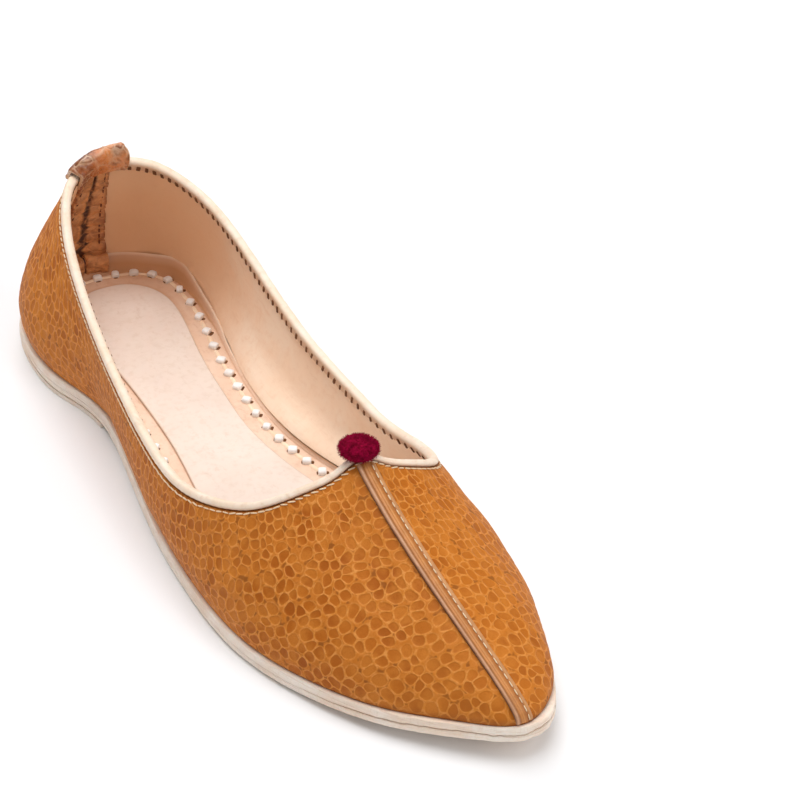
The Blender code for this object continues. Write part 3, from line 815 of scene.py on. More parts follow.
def read_pattern(flat, at, share):
    """Pattern places at columns of stations and their own rows of shares."""
    column = np.asarray(at) / 28.0 * (SHEET_COLUMNS - 1)
    low = np.clip(np.floor(column).astype(int), 0, SHEET_COLUMNS - 2)
    part = (column - low)[:, None, None]
    row = share * (SHEET_ROWS - 1)
    under = np.clip(np.floor(row).astype(int), 0, SHEET_ROWS - 2)
    rest = (row - under)[..., None]
    near = flat[low[:, None], under] * (1 - rest) + flat[low[:, None], under + 1] * rest
    far = flat[low[:, None] + 1, under] * (1 - rest) + flat[low[:, None] + 1, under + 1] * rest
    return near * (1 - part) + far * part


def crease_depths(wall, points):
    """Depth in mm of the soft troughs at the points, with the low ridges beside them."""
    flat = points.reshape(-1, 3)
    total = np.zeros(len(flat))
    for first, top, last, low, bow, width, depth in CREASES:
        part = np.linspace(0.0, 1.0, 12)
        at = first + (last - first) * part
        share = top + (low - top) * part + 0.01 * bow * np.sin(math.pi * part)
        line = np.array([wall.rulings([a])[0, int(s * (wall.FINE - 1))] for a, s in zip(at, share)])
        gaps = np.linalg.norm(flat[:, None, :] - line[None], axis=2)
        near = np.argmin(gaps, axis=1)
        gap = gaps[np.arange(len(flat)), near] / width
        fade = np.sin(math.pi * (0.12 + 0.76 * near / 11.0))
        total += depth * fade * (np.exp(-gap ** 2) - 0.35 * np.exp(-((gap - 1.9) / 0.8) ** 2))
    return total.reshape(points.shape[:-1])


def wall_relief(wall, points):
    """Unevenness of the whole wall, skin and lining alike, at points of its outer surface."""
    return 0.22 * ripple(points, 26.0, 1) + 0.10 * ripple(points, 9.0, 2) - crease_depths(wall, points)


def press_pebbles(piece, amount):
    """Presses the pebbles into the mesh itself, along its normals."""
    tree = bpy.data.node_groups.new("pressed pebbles", "GeometryNodeTree")
    for side in ("INPUT", "OUTPUT"):
        tree.interface.new_socket("Geometry", in_out=side, socket_type="NodeSocketGeometry")
    source = node(tree, "NodeGroupInput").outputs[0]
    grain = node(tree, "GeometryNodeInputNamedAttribute", {"Name": "grain"}, data_type="FLOAT_VECTOR")
    press = node(tree, "GeometryNodeInputNamedAttribute", {"Name": "press"}, data_type="FLOAT")
    round_top = pebbles(tree, grain.outputs["Attribute"])[0]
    dome = ramp(tree, round_top, 0.0, 1.0, -0.5 * amount * MM, 0.5 * amount * MM, False)
    rise = maths(tree, "MULTIPLY", dome, press.outputs["Attribute"])
    normal = node(tree, "GeometryNodeInputNormal").outputs[0]
    move = node(tree, "ShaderNodeVectorMath", {0: normal, "Scale": rise}, operation="SCALE").outputs[0]
    moved = node(tree, "GeometryNodeSetPosition", {"Geometry": source, "Offset": move})
    tree.links.new(moved.outputs[0], node(tree, "NodeGroupOutput").inputs[0])
    modifier = piece.modifiers.new("pebbles", "NODES")
    modifier.node_group = tree
    apply_modifiers(piece)


def apply_modifiers(piece):
    shown = bpy.context.evaluated_depsgraph_get()
    mesh = bpy.data.meshes.new_from_object(piece.evaluated_get(shown))
    old = piece.data
    piece.modifiers.clear()
    piece.data = mesh
    bpy.data.meshes.remove(old)


SKIN_COLUMNS = 840
SKIN_TOP = (
    # depth, offset
    (2.30, -SKIN),
    (2.30, -0.50),
    (2.45, -0.40),
    (2.62, -0.38),
    (2.80, -0.26),
    (3.00, -0.06),
    (3.35, 0.02),
)


def make_upper_skin(wall, flat, leather):
    """Tan leather: stitching channel below the binding, pebbles, creases and a foot tucked on the sole."""
    at = wall.even_stations(SKIN_COLUMNS, 0.62)
    top = np.array(SKIN_TOP)
    start = top[-1, 0]
    body = np.linspace(0.0, 1.0, 89)[1:]
    back = np.linspace(1.0, 0.08, 11)
    depths = lambda full: np.concatenate((top[:, 0], start + (full - start) * body,
                                          start + (full - start) * back))
    points, facings, share = wall.surface(at, depths)
    depth_share = (share - share[:, :1]) / (1.0 - share[:, :1])
    shell = len(top) + len(body)
    offset = np.zeros(points.shape[:2])
    offset[:, :len(top)] = top[:, 1]
    offset[:, shell:] = -SKIN
    for step, tuck in enumerate((-0.1, 0.12, 0.16, 0.10, 0.05)):
        offset[:, shell - 1 - step] = tuck
    free = np.zeros(points.shape[1])
    free[len(top):shell] = 1.0
    free[shell - 5:shell] = (0.8, 0.6, 0.4, 0.2, 0.0)
    free[len(top) - 1:len(top) + 3] = (0.1, 0.35, 0.6, 0.85)
    fade = smooth_step(depth_share, 0.0, 0.12) * smooth_step(depth_share, 1.0, 0.90)
    points = points + (offset + fade * wall_relief(wall, points))[..., None] * facings
    settle = np.zeros(points.shape[1])
    settle[shell - 4:shell + 1] = (0.05, 0.12, 0.2, 0.25, 0.25)
    points[..., 2] -= settle
    # darker channel rows under the binding, partly the leather's own colour and partly painted shade below
    # the roll; painted shade on the foot rows where the upper meets the sole
    channel_and_foot_shade = np.zeros(points.shape[1])
    channel_and_foot_shade[:len(top)] = (0.9, 0.9, 0.9, 0.9, 0.75, 0.4, 0.1)
    channel_and_foot_shade[shell - 3:shell] = (0.1, 0.3, 0.6)
    channel_and_foot_shade[shell:] = 0.3
    values = {
        "grain": stretch_pattern(read_pattern(flat, at, share)),
        "channel_and_foot_shade": np.broadcast_to(channel_and_foot_shade, points.shape[:2]),
        "press": np.broadcast_to(free, points.shape[:2]),
    }
    faces = loft_faces(len(at), points.shape[1], closed=True)
    skin = make_piece("upper_skin", points, faces, leather, ["upper"], values, 180.0)
    press_pebbles(skin, -0.10)
    return skin


def make_lining(wall, paint):
    """Smooth leather lining behind the skin, with shallow slack in it."""
    at = wall.even_stations(620, 0.5)
    down = np.concatenate(([0.0, 0.004], np.linspace(0.01, 0.99, 36), [0.996, 1.0]))
    hidden = np.linspace(1.0, 0.0, 14)
    top = BINDING_DEPTH + 0.2
    points, facings, _ = wall.surface(at, lambda full: top + (full - top) * np.concatenate((down, hidden)))
    seen = len(down)
    down = np.concatenate((down, hidden))
    cover = np.interp(points[..., 1], (20.0, 50.0, 80.0, 110.0, 150.0), (0.5, 0.9, 1.4, 2.0, 2.6))
    offset = -WALL - (cover + foot_shift(points[..., 1])) * smooth_step(down, 0.55, 1.0)
    offset[:, seen:] = -(SKIN + 0.06)
    fade = smooth_step(down, 0.0, 0.12) * smooth_step(down, 1.0, 0.90)
    drawn = points * np.array((1.0, 0.45, 1.0))
    slack = 0.14 * ripple(points, 18.0, 5) + 0.08 * ripple(drawn, 5.0, 6) - 0.12
    slack[:, seen:] = 0.0
    points = points + (offset + fade * (slack + wall_relief(wall, points)))[..., None] * facings
    faces = loft_faces(len(at), points.shape[1], closed=True)
    # painted shade: the lining darkens towards the back of the heel
    stain = 0.8 * smooth_step(points[..., 1], 75.0, 15.0)
    return make_piece("upper_lining", points, faces, paint, ["upper"],
                      {"stain": stain}, 180.0)


BINDING = (
    # offset, depth: round the roll from its outer lower edge
    (0.00, 2.40),
    (0.36, 2.12),
    (0.52, 1.55),
    (0.50, 1.00),
    (0.30, 0.48),
    (-0.15, 0.12),
    (-0.95, 0.00),
    (-1.75, 0.14),
    (-2.28, 0.60),
    (-2.54, 1.40),
    (-2.60, 2.40),
    (-2.52, 3.30),
    (-2.25, 3.75),
    (-1.90, 3.50),
    (-1.10, 2.35),
)


def make_binding(wall, paint):
    """Rolled leather binding over the top edge, drawn in a little at each stitch."""
    count = 1080
    at = wall.even_stations(count, 0.0)
    place, out, down, _ = wall.collar_frames(at)
    profile = even_loop(BINDING, 26)
    share = np.arange(count) / count
    stitches = round(wall.collar_length() / STITCH_PITCH)
    pull = np.cos(2.0 * math.pi * stitches * share)[:, None]
    low = smooth_step(profile[:, 1], 1.2, 3.2)[None]
    points = (place[:, None] + profile[None, :, :1] * out[:, None] + profile[None, :, 1:] * down[:, None])
    swell = 0.10 * ripple(points, 9.0, 8) + 0.06 * ripple(points, 3.0, 9) + 0.07 * low * pull
    centre = place[:, None] - 0.9 * out[:, None] + 1.9 * down[:, None]
    points = points + swell[..., None] * unit(points - centre)
    # painted shade: the edge colour darkens the inner side of the roll and its lower outer edge against the
    # skin
    inside = smooth_step(profile[:, 0], -1.5, -2.4) * smooth_step(profile[:, 1], 0.2, 1.4)
    outside = smooth_step(profile[:, 0], -0.6, 0.0) * smooth_step(profile[:, 1], 1.9, 2.4)
    edge = np.broadcast_to(0.6 * inside + 0.5 * outside, points.shape[:2])
    faces = loft_faces(count, len(profile), closed=True)
    return make_piece("collar_roll", points, faces, paint, ["collar_binding"],
                      {"edge": edge}, 180.0)


def make_collar_stitches(wall, thread, hole):
    """Thread along the outside of the collar, and the laced slots along its inside, drawn as dark patches of
    painted shade in their holes.
    """
    length = wall.collar_length()
    count = round(length / STITCH_PITCH)
    share = np.random.default_rng(3)
    step = wall.count / count
    at = np.interp(np.arange(count) / count, np.linspace(0, 1, 2000, endpoint=False),
                   wall.even_stations(2000, 0.0))
    tab = np.minimum(at, wall.count - at) > 1.1 * step * 3
    at = at[tab]
    place, out, down, along = wall.collar_frames(at)
    turn = np.radians(9.0 + 5.0 * share.standard_normal(len(at)))[:, None]
    way = along * np.cos(turn) + down * np.sin(turn)
    lift = unit(out + 0.12 * down)
    side = (smooth_step(at, 1.5, 3.5) * smooth_step(at, 10.5, 8.5))[:, None]
    centre = place + (3.40 + 0.20 * side) * down + (0.14 + 0.14 * side) * out
    sizes = np.tile((1.10, 0.22, 0.22), (len(at), 1)) * (1.0 + 0.06 * share.standard_normal((len(at), 3)))
    scatter("collar_stitches", lozenge(), centre, way, lift, sizes, thread, "cream_leather")

    even = wall.even_stations(2000, 0.0)
    pitch = np.interp(np.abs(even - wall.peak), (3.0, 12.0), (3.8, 3.0))
    turns = np.cumsum(length / 2000 / pitch)
    at = np.interp(np.arange(1, int(turns[-1])), turns, even)
    at = at[np.minimum(at, wall.count - at) > 0.75]
    place, out, down, along = wall.collar_frames(at)
    turn = np.radians(8.0 + 6.0 * share.standard_normal(len(at)))[:, None]
    way = down * np.cos(turn) + along * np.sin(turn)
    centre = place + 2.45 * down - 2.66 * out
    wide = 0.42 + 0.2 * smooth_step(np.abs(at - wall.peak), 8.0, 12.0)
    sizes = np.column_stack((np.full(len(at), 0.92), wide, np.full(len(at), 0.22)))
    sizes = sizes * (1.0 + 0.08 * share.standard_normal((len(at), 3)))
    # dark patches: painted shade in the slots
    scatter("collar_slots", lozenge(7, 8, 6.0, 0.9), centre, way, -out, sizes, hole, "brown_leather")


# ---------------------------------------------------------------- strips of brown leather

STRIP = (
    # across (-1 outer side to 1 inner side), height
    (-1.00, -0.10),
    (-0.99, 0.70),
    (-0.93, 1.05),
    (-0.82, 1.20),
    (-0.70, 1.16),
    (-0.58, 0.98),
    (-0.50, 0.72),
    (-0.42, 0.62),
    (-0.30, 0.70),
    (-0.20, 0.70),
    (-0.14, 0.62),
    (-0.05, 0.70),
    (0.08, 0.70),
    (0.20, 0.62),
    (0.30, 0.46),
    (0.43, 0.42),
    (0.54, 0.46),
    (0.62, 0.60),
    (0.74, 0.64),
    (0.88, 0.48),
    (0.97, 0.22),
    (1.00, -0.10),
)


def strip_rings(points, facings, profile, base=0.0):
    """Rings of a strip: each row of points carries the profile's heights along its facings."""
    across = np.linspace(-1.0, 1.0, points.shape[1])
    rings = []
    for row, facing in zip(points, facings):
        spot = np.stack([np.interp(profile[:, 0], across, row[:, k]) for k in range(3)], axis=1)
        way = np.stack([np.interp(profile[:, 0], across, facing[:, k]) for k in range(3)], axis=1)
        rings.append(spot + (profile[:, 1] + base)[:, None] * way)
    return np.array(rings)


def stitch_places(line, facing, pitch, first):
    """Places at an even pitch along the line, the way ahead and the facing there."""
    length = path_lengths(line)
    wanted = (np.arange(int(length[-1] / pitch)) + first) * pitch
    read = lambda at, rows: np.stack([np.interp(at, length, rows[:, k]) for k in range(3)], axis=1)
    centre = read(wanted, line)
    return centre, unit(read(wanted + 0.5, line) - centre), unit(read(wanted, facing))


def make_vamp_strip(wall, paint, thread):
    """Strip down the ridge: a rolled seam on its outer side, a stitched channel and a thin inner edge."""
    rows = 220
    depths = lambda full: np.linspace(STRIP_FROM - 1.0, full - 0.6, rows)
    widths = lambda part: STRIP_WIDTH / 0.9 + (STRIP_WIDTH - STRIP_WIDTH / 0.9) * part
    points, facings = wall.band(wall.peak, widths, depths, 33, lambda part: STRIP_SHIFT + 0.0 * part)
    profile = np.array(STRIP)
    rings = strip_rings(points, facings, profile)
    wave = 0.07 * ripple(rings, 7.0, 11) + 0.05 * ripple(rings, 2.4, 12)
    wave -= 0.5 * profile[:, 1] * smooth_step(np.arange(rows), rows - 8, rows)[:, None]
    up = (profile[:, 1] > 0.0)[None, :, None]
    rings = rings + up * wave[..., None] * facings[:, 16:17]
    tone = np.broadcast_to(0.5 + 0.5 * profile[:, 0], rings.shape[:2])
    edge = np.zeros(rings.shape[:2])
    make_piece("vamp_seam_strip", rings, loft_faces(rows, len(profile)), paint,
               ["vamp_strip"], {"tone": tone, "edge": edge}, 60.0)

    line = points[:, 23] + 0.56 * facings[:, 23]
    centre, way, lift = stitch_places(line, facings[:, 23], VAMP_PITCH, 0.7)
    vary = 1.0 + 0.06 * np.random.default_rng(5).standard_normal((len(centre), 3))
    sizes = np.tile((0.90, 0.19, 0.18), (len(centre), 1)) * vary
    scatter("vamp_stitches", lozenge(), centre, way, lift, sizes, thread, "cream_leather")


HEEL_STRIP = (
    # across, height above the lining
    (-1.00, -0.10),
    (-0.99, 0.80),
    (-0.93, 1.12),
    (-0.80, 1.10),
    (-0.74, 0.86),
    (-0.66, 1.12),
    (-0.45, 1.28),
    (-0.22, 1.24),
    (-0.10, 0.98),
    (-0.04, 0.30),
    (0.02, 0.30),
    (0.08, 1.00),
    (0.20, 1.26),
    (0.45, 1.30),
    (0.66, 1.14),
    (0.74, 0.88),
    (0.80, 1.12),
    (0.93, 1.14),
    (0.99, 0.80),
    (1.00, -0.10),
)


HEEL_FOLDS = (
    # side (-1 inner band, 1 outer band), share of the way down, slant, half width, depth
    (-1, 0.10, 0.02, 0.016, 0.5),
    (-1, 0.25, -0.03, 0.022, 0.8),
    (-1, 0.40, 0.04, 0.018, 0.7),
    (-1, 0.53, -0.02, 0.022, 0.9),
    (-1, 0.66, 0.03, 0.018, 0.7),
    (-1, 0.72, 0.02, 0.016, 0.6),
    (-1, 0.86, -0.02, 0.024, 1.0),
    (1, 0.18, 0.03, 0.018, 0.6),
    (1, 0.34, -0.03, 0.022, 0.8),
    (1, 0.47, 0.02, 0.018, 0.8),
    (1, 0.62, -0.03, 0.022, 0.9),
    (1, 0.78, 0.03, 0.020, 0.8),
    (1, 0.90, -0.01, 0.022, 0.9),
)
FOLD_SECTION = (
    # inwards from the lining, height above the insole board: the bands' folded foot
    (-0.4, 6.6),
    (0.4, 7.2),
    (1.4, 7.5),
    (2.4, 7.3),
    (3.1, 6.6),
    (3.4, 5.5),
    (3.4, 4.2),
    (3.1, 2.9),
    (2.7, 1.7),
    (2.1, 0.9),
    (1.2, 0.8),
    (0.2, 1.2),
    (-0.4, 2.4),
)


def heel_folds(part, place):
    """Depth from 0 of the cross folds at shares of the way down and places across the bands."""
    total = np.zeros(np.broadcast(part, place).shape)
    for side, spot, slant, width, depth in HEEL_FOLDS:
        own = smooth_step(side * place, 0.02, 0.12)
        line = spot + slant * np.abs(place) + 0.012 * np.sin(9.0 * place + 40.0 * spot)
        total += own * depth * np.exp(-((part - line) / width) ** 2)
    return total


def make_heel_strip(wall, paint, thread):
    """Two crumpled bands up the inside of the heel, meeting in a dark seam; make_heel_fold draws their foot
    folded over the rim.
    """
    rows = 150
    depths = lambda full: np.linspace(BINDING_DEPTH + 0.2, full - 7.0, rows)
    widths = lambda part: BACK_TOP - 1.5 + (BACK_FOOT - BACK_TOP + 2.9) * np.minimum(part * 1.1, 1.0)
    shifts = lambda part: SEAM_SHIFT + 0.75 - 1.45 * part
    points, facings = wall.band(0.0, widths, depths, 33, shifts)
    facings = -facings
    profile = np.array(HEEL_STRIP)
    rings = strip_rings(points, facings, profile, WALL - 0.05)
    part = np.linspace(0.0, 1.0, rows)[:, None]
    trough = heel_folds(part, profile[None, :, 0])
    folds = 0.34 * ripple(rings * (0.6, 0.6, 1.0), 3.2, 14) + 0.20 * ripple(rings, 1.5, 15) + 0.35 - trough
    up = (profile[:, 1] > 0.2)[None, :]
    rings = rings + (up * np.maximum(folds, -0.9))[..., None] * facings[:, 16:17]
    tone = 0.5 + 0.5 * profile[None, :, 0]
    shaded = np.clip(0.3 * trough, 0.0, 0.4) * smooth_step(np.abs(profile[None, :, 0]), 0.15, 0.5)
    tone = tone + (0.505 - tone) * shaded
    make_piece("heel_bands", rings, loft_faces(rows, len(profile)), paint,
               ["heel_strip"], {"tone": tone, "edge": np.zeros(rings.shape[:2])}, 60.0)

    for side, column in (("outer", 4), ("inner", 28)):
        seen = rows - 8
        line = points[:seen, column] + (WALL + 1.0) * facings[:seen, column]
        centre, way, lift = stitch_places(line, facings[:seen, column], HEEL_PITCH, 0.5)
        sizes = np.tile((0.85, 0.26, 0.24), (len(centre), 1))
        scatter("heel_stitches_" + side, lozenge(), centre, way, lift, sizes, thread, "brown_leather")


def make_heel_fold(wall, paint):
    """Foot of the two bands, folded over the insole's rim and gathered in the middle."""
    columns = 71
    width = lambda part: 19.0 + 0.0 * part
    move = lambda part: SEAM_SHIFT - 1.0 + 0.0 * part
    foot, facing = wall.band(0.0, width, lambda full: np.array((full - 0.2, full)), columns, move)
    inwards = unit(-facing[1] * (1.0, 1.0, 0.0))
    base = foot[1] + WALL * inwards
    section = even_loop(FOLD_SECTION, 40)
    place = np.linspace(-1.0, 1.0, columns)
    close = np.sqrt(np.clip(1.0 - np.abs(place) ** 14, 0.0, 1.0))[:, None]
    gather = np.exp(-((place - 0.05) / 0.07) ** 2)[:, None]
    middle = section.mean(axis=0)
    section = middle + (section[None] - middle) * (0.80 + 0.20 * close)[..., None]
    sag = 0.5 * np.cos(5.0 * place)[:, None]
    board = board_height(base[:, 1])[:, None]
    height = board + section[..., 1] + sag * smooth_step(section[..., 1], 1.0, 4.0)
    rings = base[:, None] + section[..., :1] * inwards[:, None]
    rings[..., 2] = height
    crush = 0.45 * ripple(rings, (2.6, 2.6, 3.4), 61) + 0.22 * ripple(rings, 1.2, 62)
    crush -= 0.45 * np.exp(-((section[..., 1] - 3.6 - 0.4 * np.sin(4.0 * place)[:, None]) / 0.35) ** 2)
    push = (crush - 0.9 * gather)[..., None]
    centre = rings.mean(axis=1, keepdims=True)
    rings = rings + push * unit(rings - centre)
    # darker towards the dark seam colour in the middle, where the seam runs down, and painted shade in the
    # crushed dents
    tone = np.where(place < 0.0, 0.25, 0.75)[:, None] + 0.0 * crush
    tone = tone + (0.505 - tone) * np.clip(gather - 0.5 * crush, 0.0, 0.9)
    make_piece("heel_fold", rings, loft_faces(columns, section.shape[1]), paint,
               ["heel_strip"], {"tone": tone, "edge": np.zeros(rings.shape[:2])}, 180.0)


# Creases of the tab: share of the way round the fold and place across (0 inner end, 1 outer end) at both
# ends, half width in the same shares, and height.
TAB_CREASES = (
    (0.50, 0.10, 0.60, 0.62, 0.022, 0.34),
    (0.60, 0.62, 0.52, 0.90, 0.022, 0.30),
    (0.42, 0.66, 0.86, 0.60, 0.020, 0.28),
    (0.36, 0.30, 0.74, 0.36, 0.018, 0.24),
    (0.74, 0.36, 0.98, 0.30, 0.018, 0.20),
    (0.58, 0.86, 0.90, 0.80, 0.018, 0.22),
    (0.34, 0.86, 0.56, 0.78, 0.018, 0.20),
)


def tab_creases(down, across):
    """Height of the ridges pressed into the tab at shares of the way round and across."""
    total = np.zeros(np.broadcast(down, across).shape)
    for first, start, last, stop, width, height in TAB_CREASES:
        run = np.array((last - first, stop - start))
        size = float(run @ run)
        part = np.clip(((down - first) * run[0] + (across - start) * run[1]) / size, 0.0, 1.0)
        bow = 0.02 * np.sin(7.0 * part + 30.0 * first)
        gap = np.hypot(down - first - part * run[0] - bow, across - start - part * run[1])
        swell = np.sin(math.pi * (0.15 + 0.7 * part))
        total = np.maximum(total, height * np.exp(-(gap / width) ** 2) * swell)
    return total


def make_pull_tab(wall, paint):
    """Glossy cracked leather folded over the binding at the back of the heel, with pale cut edges."""
    across = 81
    outside, inside = 0.75, -2.80
    left = np.linspace(0.0, 1.0, across)
    wide = lambda part: TAB_WIDTH + 0.6 + (TAB_TOP - TAB_WIDTH - 0.6) * part
    lap = lambda part: TAB_TOP + 2.4 - 0.6 * part
    shift = lambda part: SEAM_SHIFT + 0.5 + 0.0 * part
    lap_shift = lambda part: SEAM_SHIFT - 0.7 + 0.3 * part
    even = lambda part: TAB_TOP + 0.0 * part
    rim, facing = wall.band(0.0, even, lambda full: np.array((0.0, 1.0)), across, shift)
    up = unit(rim[0] - rim[1])
    towards = -unit(np.gradient(rim[0], axis=0))

    spot, outs = wall.band(0.0, wide, lambda full: np.linspace(TAB_LAP_OUT + 0.6, 1.5, 18), across, shift)
    part = np.linspace(1.0, 0.0, 18)[:, None]
    tuck = 4.8 * smooth_step(left, 0.72, 1.0)
    outer = spot + outside * outs + (part * tuck)[..., None] * up
    spot, outs = wall.band(0.0, lap, lambda full: np.linspace(1.5, TAB_LAP_IN - 1.2, 10), across, lap_shift)
    part = np.linspace(0.0, 1.0, 10)[:, None]
    longer = 3.0 * smooth_step(left, 0.76, 0.98) - 0.6 * smooth_step(left, 0.3, 0.0)
    inner = spot + inside * outs - (part * longer)[..., None] * up

    middle = rim[0] + 0.5 * (outside + inside) * facing[0]
    reach = 0.5 * (outside - inside)
    rise = np.interp(left, (0.0, 0.38, 0.60, 0.76, 0.93, 1.0), (6.2, 4.1, 3.9, 3.5, 1.5, 0.6))[:, None]
    arch = []
    for turn in np.linspace(0.0, math.pi, 40):
        aside = 2.4 * (1.0 - left)[:, None] * smooth_step(turn, 0.3 * math.pi, 0.9 * math.pi)
        arch.append(middle + reach * math.cos(turn) * facing[0] + up * (CLEAR + rise * math.sin(turn))
                    + aside * towards)
    sheet = np.concatenate((outer, np.array(arch), inner))
    for _ in range(3):
        before = np.concatenate((sheet[:1], sheet[:-1]))
        after = np.concatenate((sheet[1:], sheet[-1:]))
        sheet = (before + 2.0 * sheet + after) / 4
        sheet[:, 1:-1] = (sheet[:, :-2] + 2.0 * sheet[:, 1:-1] + sheet[:, 2:]) / 4
    normal = unit(np.cross(np.gradient(sheet, axis=0), np.gradient(sheet, axis=1)))
    if np.sum(normal[0] * facing[0]) < 0.0:
        normal = -normal
    rows = len(sheet)
    down = np.linspace(0.0, 1.0, rows)[:, None]
    side_part = np.abs(2.0 * left - 1.0)[None]
    ends = smooth_step(side_part, 1.0, 0.93) * smooth_step(down, 0.0, 0.03) * smooth_step(down, 1.0, 0.96)
    thick = TAB_THICK * (0.62 + 0.38 * ends)
    ridges = tab_creases(down, left[None])
    bumps = 0.26 * ripple(sheet, 4.2, 17) + 0.16 * ripple(sheet, 1.7, 18) + 1.3 * ridges
    top = sheet + (thick + 0.6 * ends * bumps)[..., None] * normal
    rings = np.concatenate((top, sheet[:, ::-1]), axis=1)
    edge = np.zeros(rings.shape[:2])
    # the crease ridges are paler: partly pale creased leather, partly painted highlight
    edge[:, :across] = np.clip(1.6 * ridges, 0.0, 0.5)
    edge[:, :1] = edge[:, across - 1:across + 1] = edge[:, -1:] = 0.9
    edge[:2] = 0.6
    edge[-2:, :across] = 0.5
    tone = np.concatenate((np.tile(left, (rows, 1)), np.full((rows, across), 0.5)), axis=1)
    make_piece("heel_tab", rings, loft_faces(rows, 2 * across), paint, ["pull_tab"],
               {"tone": tone, "edge": edge}, 60.0)


# ---------------------------------------------------------------- sole and insole

def edge_rings(outline, profile, low, high):
    """Rings round an outline: profile lists (inset, share of the height) from below to above.

    A third number in a row is its inset at the toe, where the layers of the sole part.
    """
    rings = []
    apart = smooth_step(outline[:, 1], 205.0, 245.0)
    for inset, share, *parted in profile:
        line = inset_loop(outline, inset)
        if parted:
            line = line + (inset_loop(outline, parted[0]) - line) * apart[:, None]
        base, top = low(line), high(line)
        rings.append(np.column_stack((line, base + (top - base) * share)))
    return np.array(rings)


def waver(line):
    """Unevenness of the seam between the two sole layers: slight, and rough at the toe."""
    along = line[:, 1]
    spot = np.column_stack((line, np.zeros(len(line))))
    amount = 0.08 + 0.34 * smooth_step(along, 215.0, 262.0)
    climb = 0.8 * smooth_step(line[:, 0], 11.0, 21.0) * smooth_step(along, 250.0, 264.0)
    return amount * ripple(spot, 6.5, 21) + 0.5 * amount * ripple(spot, 2.2, 22) + climb


def fray(points, count):
    """Rough cut edge: moves the points of the rings a little in and out."""
    centre = np.array((0.0, 0.5 * LENGTH, 0.0))
    away = unit((points - centre) * (1.0, 0.35, 0.0))
    rough = 0.10 * ripple(points, (9.0, 9.0, 1.5), 23) + 0.08 * ripple(points, (2.2, 2.2, 0.7), 24)
    rough += 0.25 * smooth_step(points[:, 1], 258.0, 266.0) * ripple(points, (3.0, 6.0, 3.0), 25)
    moved = points.copy()
    moved[:count] += rough[:count, None] * away[:count] - 0.08 * away[:count]
    return moved


# Edges of the two layers: inset, share of the height and, where the layers part at the toe, inset there.
OUTSOLE_EDGE = ((1.30, 0.0), (0.85, 0.04), (0.45, 0.16), (0.16, 0.34), (0.04, 0.55), (0.02, 0.80),
                (0.03, 0.97, 0.14), (0.12, 1.0, 0.50))
MIDSOLE_EDGE = ((0.12, 0.0, 0.55), (0.04, 0.03, 0.32), (0.06, 0.16, 0.18), (0.10, 0.45), (0.20, 0.76),
                (0.38, 0.94), (0.80, 1.0), (1.7, 1.0))


def make_sole(paint):
    """Two layers of thick leather with raw edges, and a thin lift under the heel."""
    outline = centred_loop(sole_loop(1600), 330)
    seam = lambda line: bottom_height(line[:, 1]) + OUTSOLE + waver(line)
    floor = lambda line: bottom_height(line[:, 1])
    shade = lambda points, count: {"edge": np.where(np.arange(len(points)) < count, seam_shade(points), 0.0)}
    rings = edge_rings(outline, OUTSOLE_EDGE, floor, seam)
    count = rings.shape[0] * rings.shape[1]
    slab("outsole_leather", rings, paint, ["outsole"], shade, 10, lambda p: fray(p, count))
    above = lambda line: seam(line) + 0.02 + 0.05 * smooth_step(line[:, 1], 205.0, 245.0)
    top = lambda line: sole_top(line[:, 1])
    rings = edge_rings(outline, MIDSOLE_EDGE, above, top)
    count = rings.shape[0] * rings.shape[1]
    slab("midsole_leather", rings, paint, ["midsole"], shade, 10, lambda p: fray(p, count))

    heel = inset_loop(sole_loop(1600), 0.3)
    heel = heel[heel[:, 1] < LIFT_END]
    split = int(np.argmax(np.hypot(*np.diff(heel, axis=0).T))) + 1
    sides = []
    back = heel[:, 1].min()
    alongs = back + (LIFT_END - back) * (1 - np.cos(np.linspace(0, math.pi / 2, 120)))
    for side in (heel[:split], heel[split:]):
        side = side[np.argsort(side[:, 1])]
        sides.append(np.column_stack((np.interp(alongs, side[:, 1], side[:, 0]), alongs)))
    loop = np.concatenate((sides[0], sides[1][:0:-1]))
    rings = np.array([np.column_stack((loop, np.full(len(loop), z))) for z in (0.0, 0.4, 0.8, LIFT + 0.25)])
    count = rings.shape[0] * rings.shape[1]
    slab("heel_lift_leather", rings, paint, ["heel_lift"], shade, 10,
         lambda p: fray(p, count) * (1, 1, 0) + p * (0, 0, 1))


def seam_shade(points):
    """Stain and painted shade in the seam between the layers, darker at the toe where they part."""
    middle = bottom_height(points[:, 1]) + OUTSOLE + waver(points[:, :2])
    apart = 0.06 + 0.28 * smooth_step(points[:, 1], 205.0, 240.0)
    return apart * np.exp(-((points[:, 2] - middle - 0.05) / 0.20) ** 2)


FOOT_PLACES = (20.0, 32.0, 48.0, 66.0, 93.0, 108.0, 116.0, 150.0, 200.0)
FOOT_SHIFTS = (0.0, 0.5, 1.6, 1.1, 1.4, 2.0, 2.3, 2.3, 0.8)


def foot_shift(along):
    """How far the foot of the lining, and the rim of the insole with it, comes in over the board."""
    return np.interp(along, FOOT_PLACES, FOOT_SHIFTS)


RIM = (
    # inset from the sole's outline, height above the board
    (5.6, -INSOLE),
    (4.0, -INSOLE + 0.1),
    (3.75, 0.4),
    (3.70, 1.5),
    (3.90, 1.95),
    (4.30, 2.05),
    (4.75, 1.75),
    (5.15, 1.0),
    (5.60, 0.30),
    (6.00, -0.02),
    (6.30, -0.22),
    (6.60, -0.05),
    (7.20, 0.06),
    (9.00, 0.0),
)


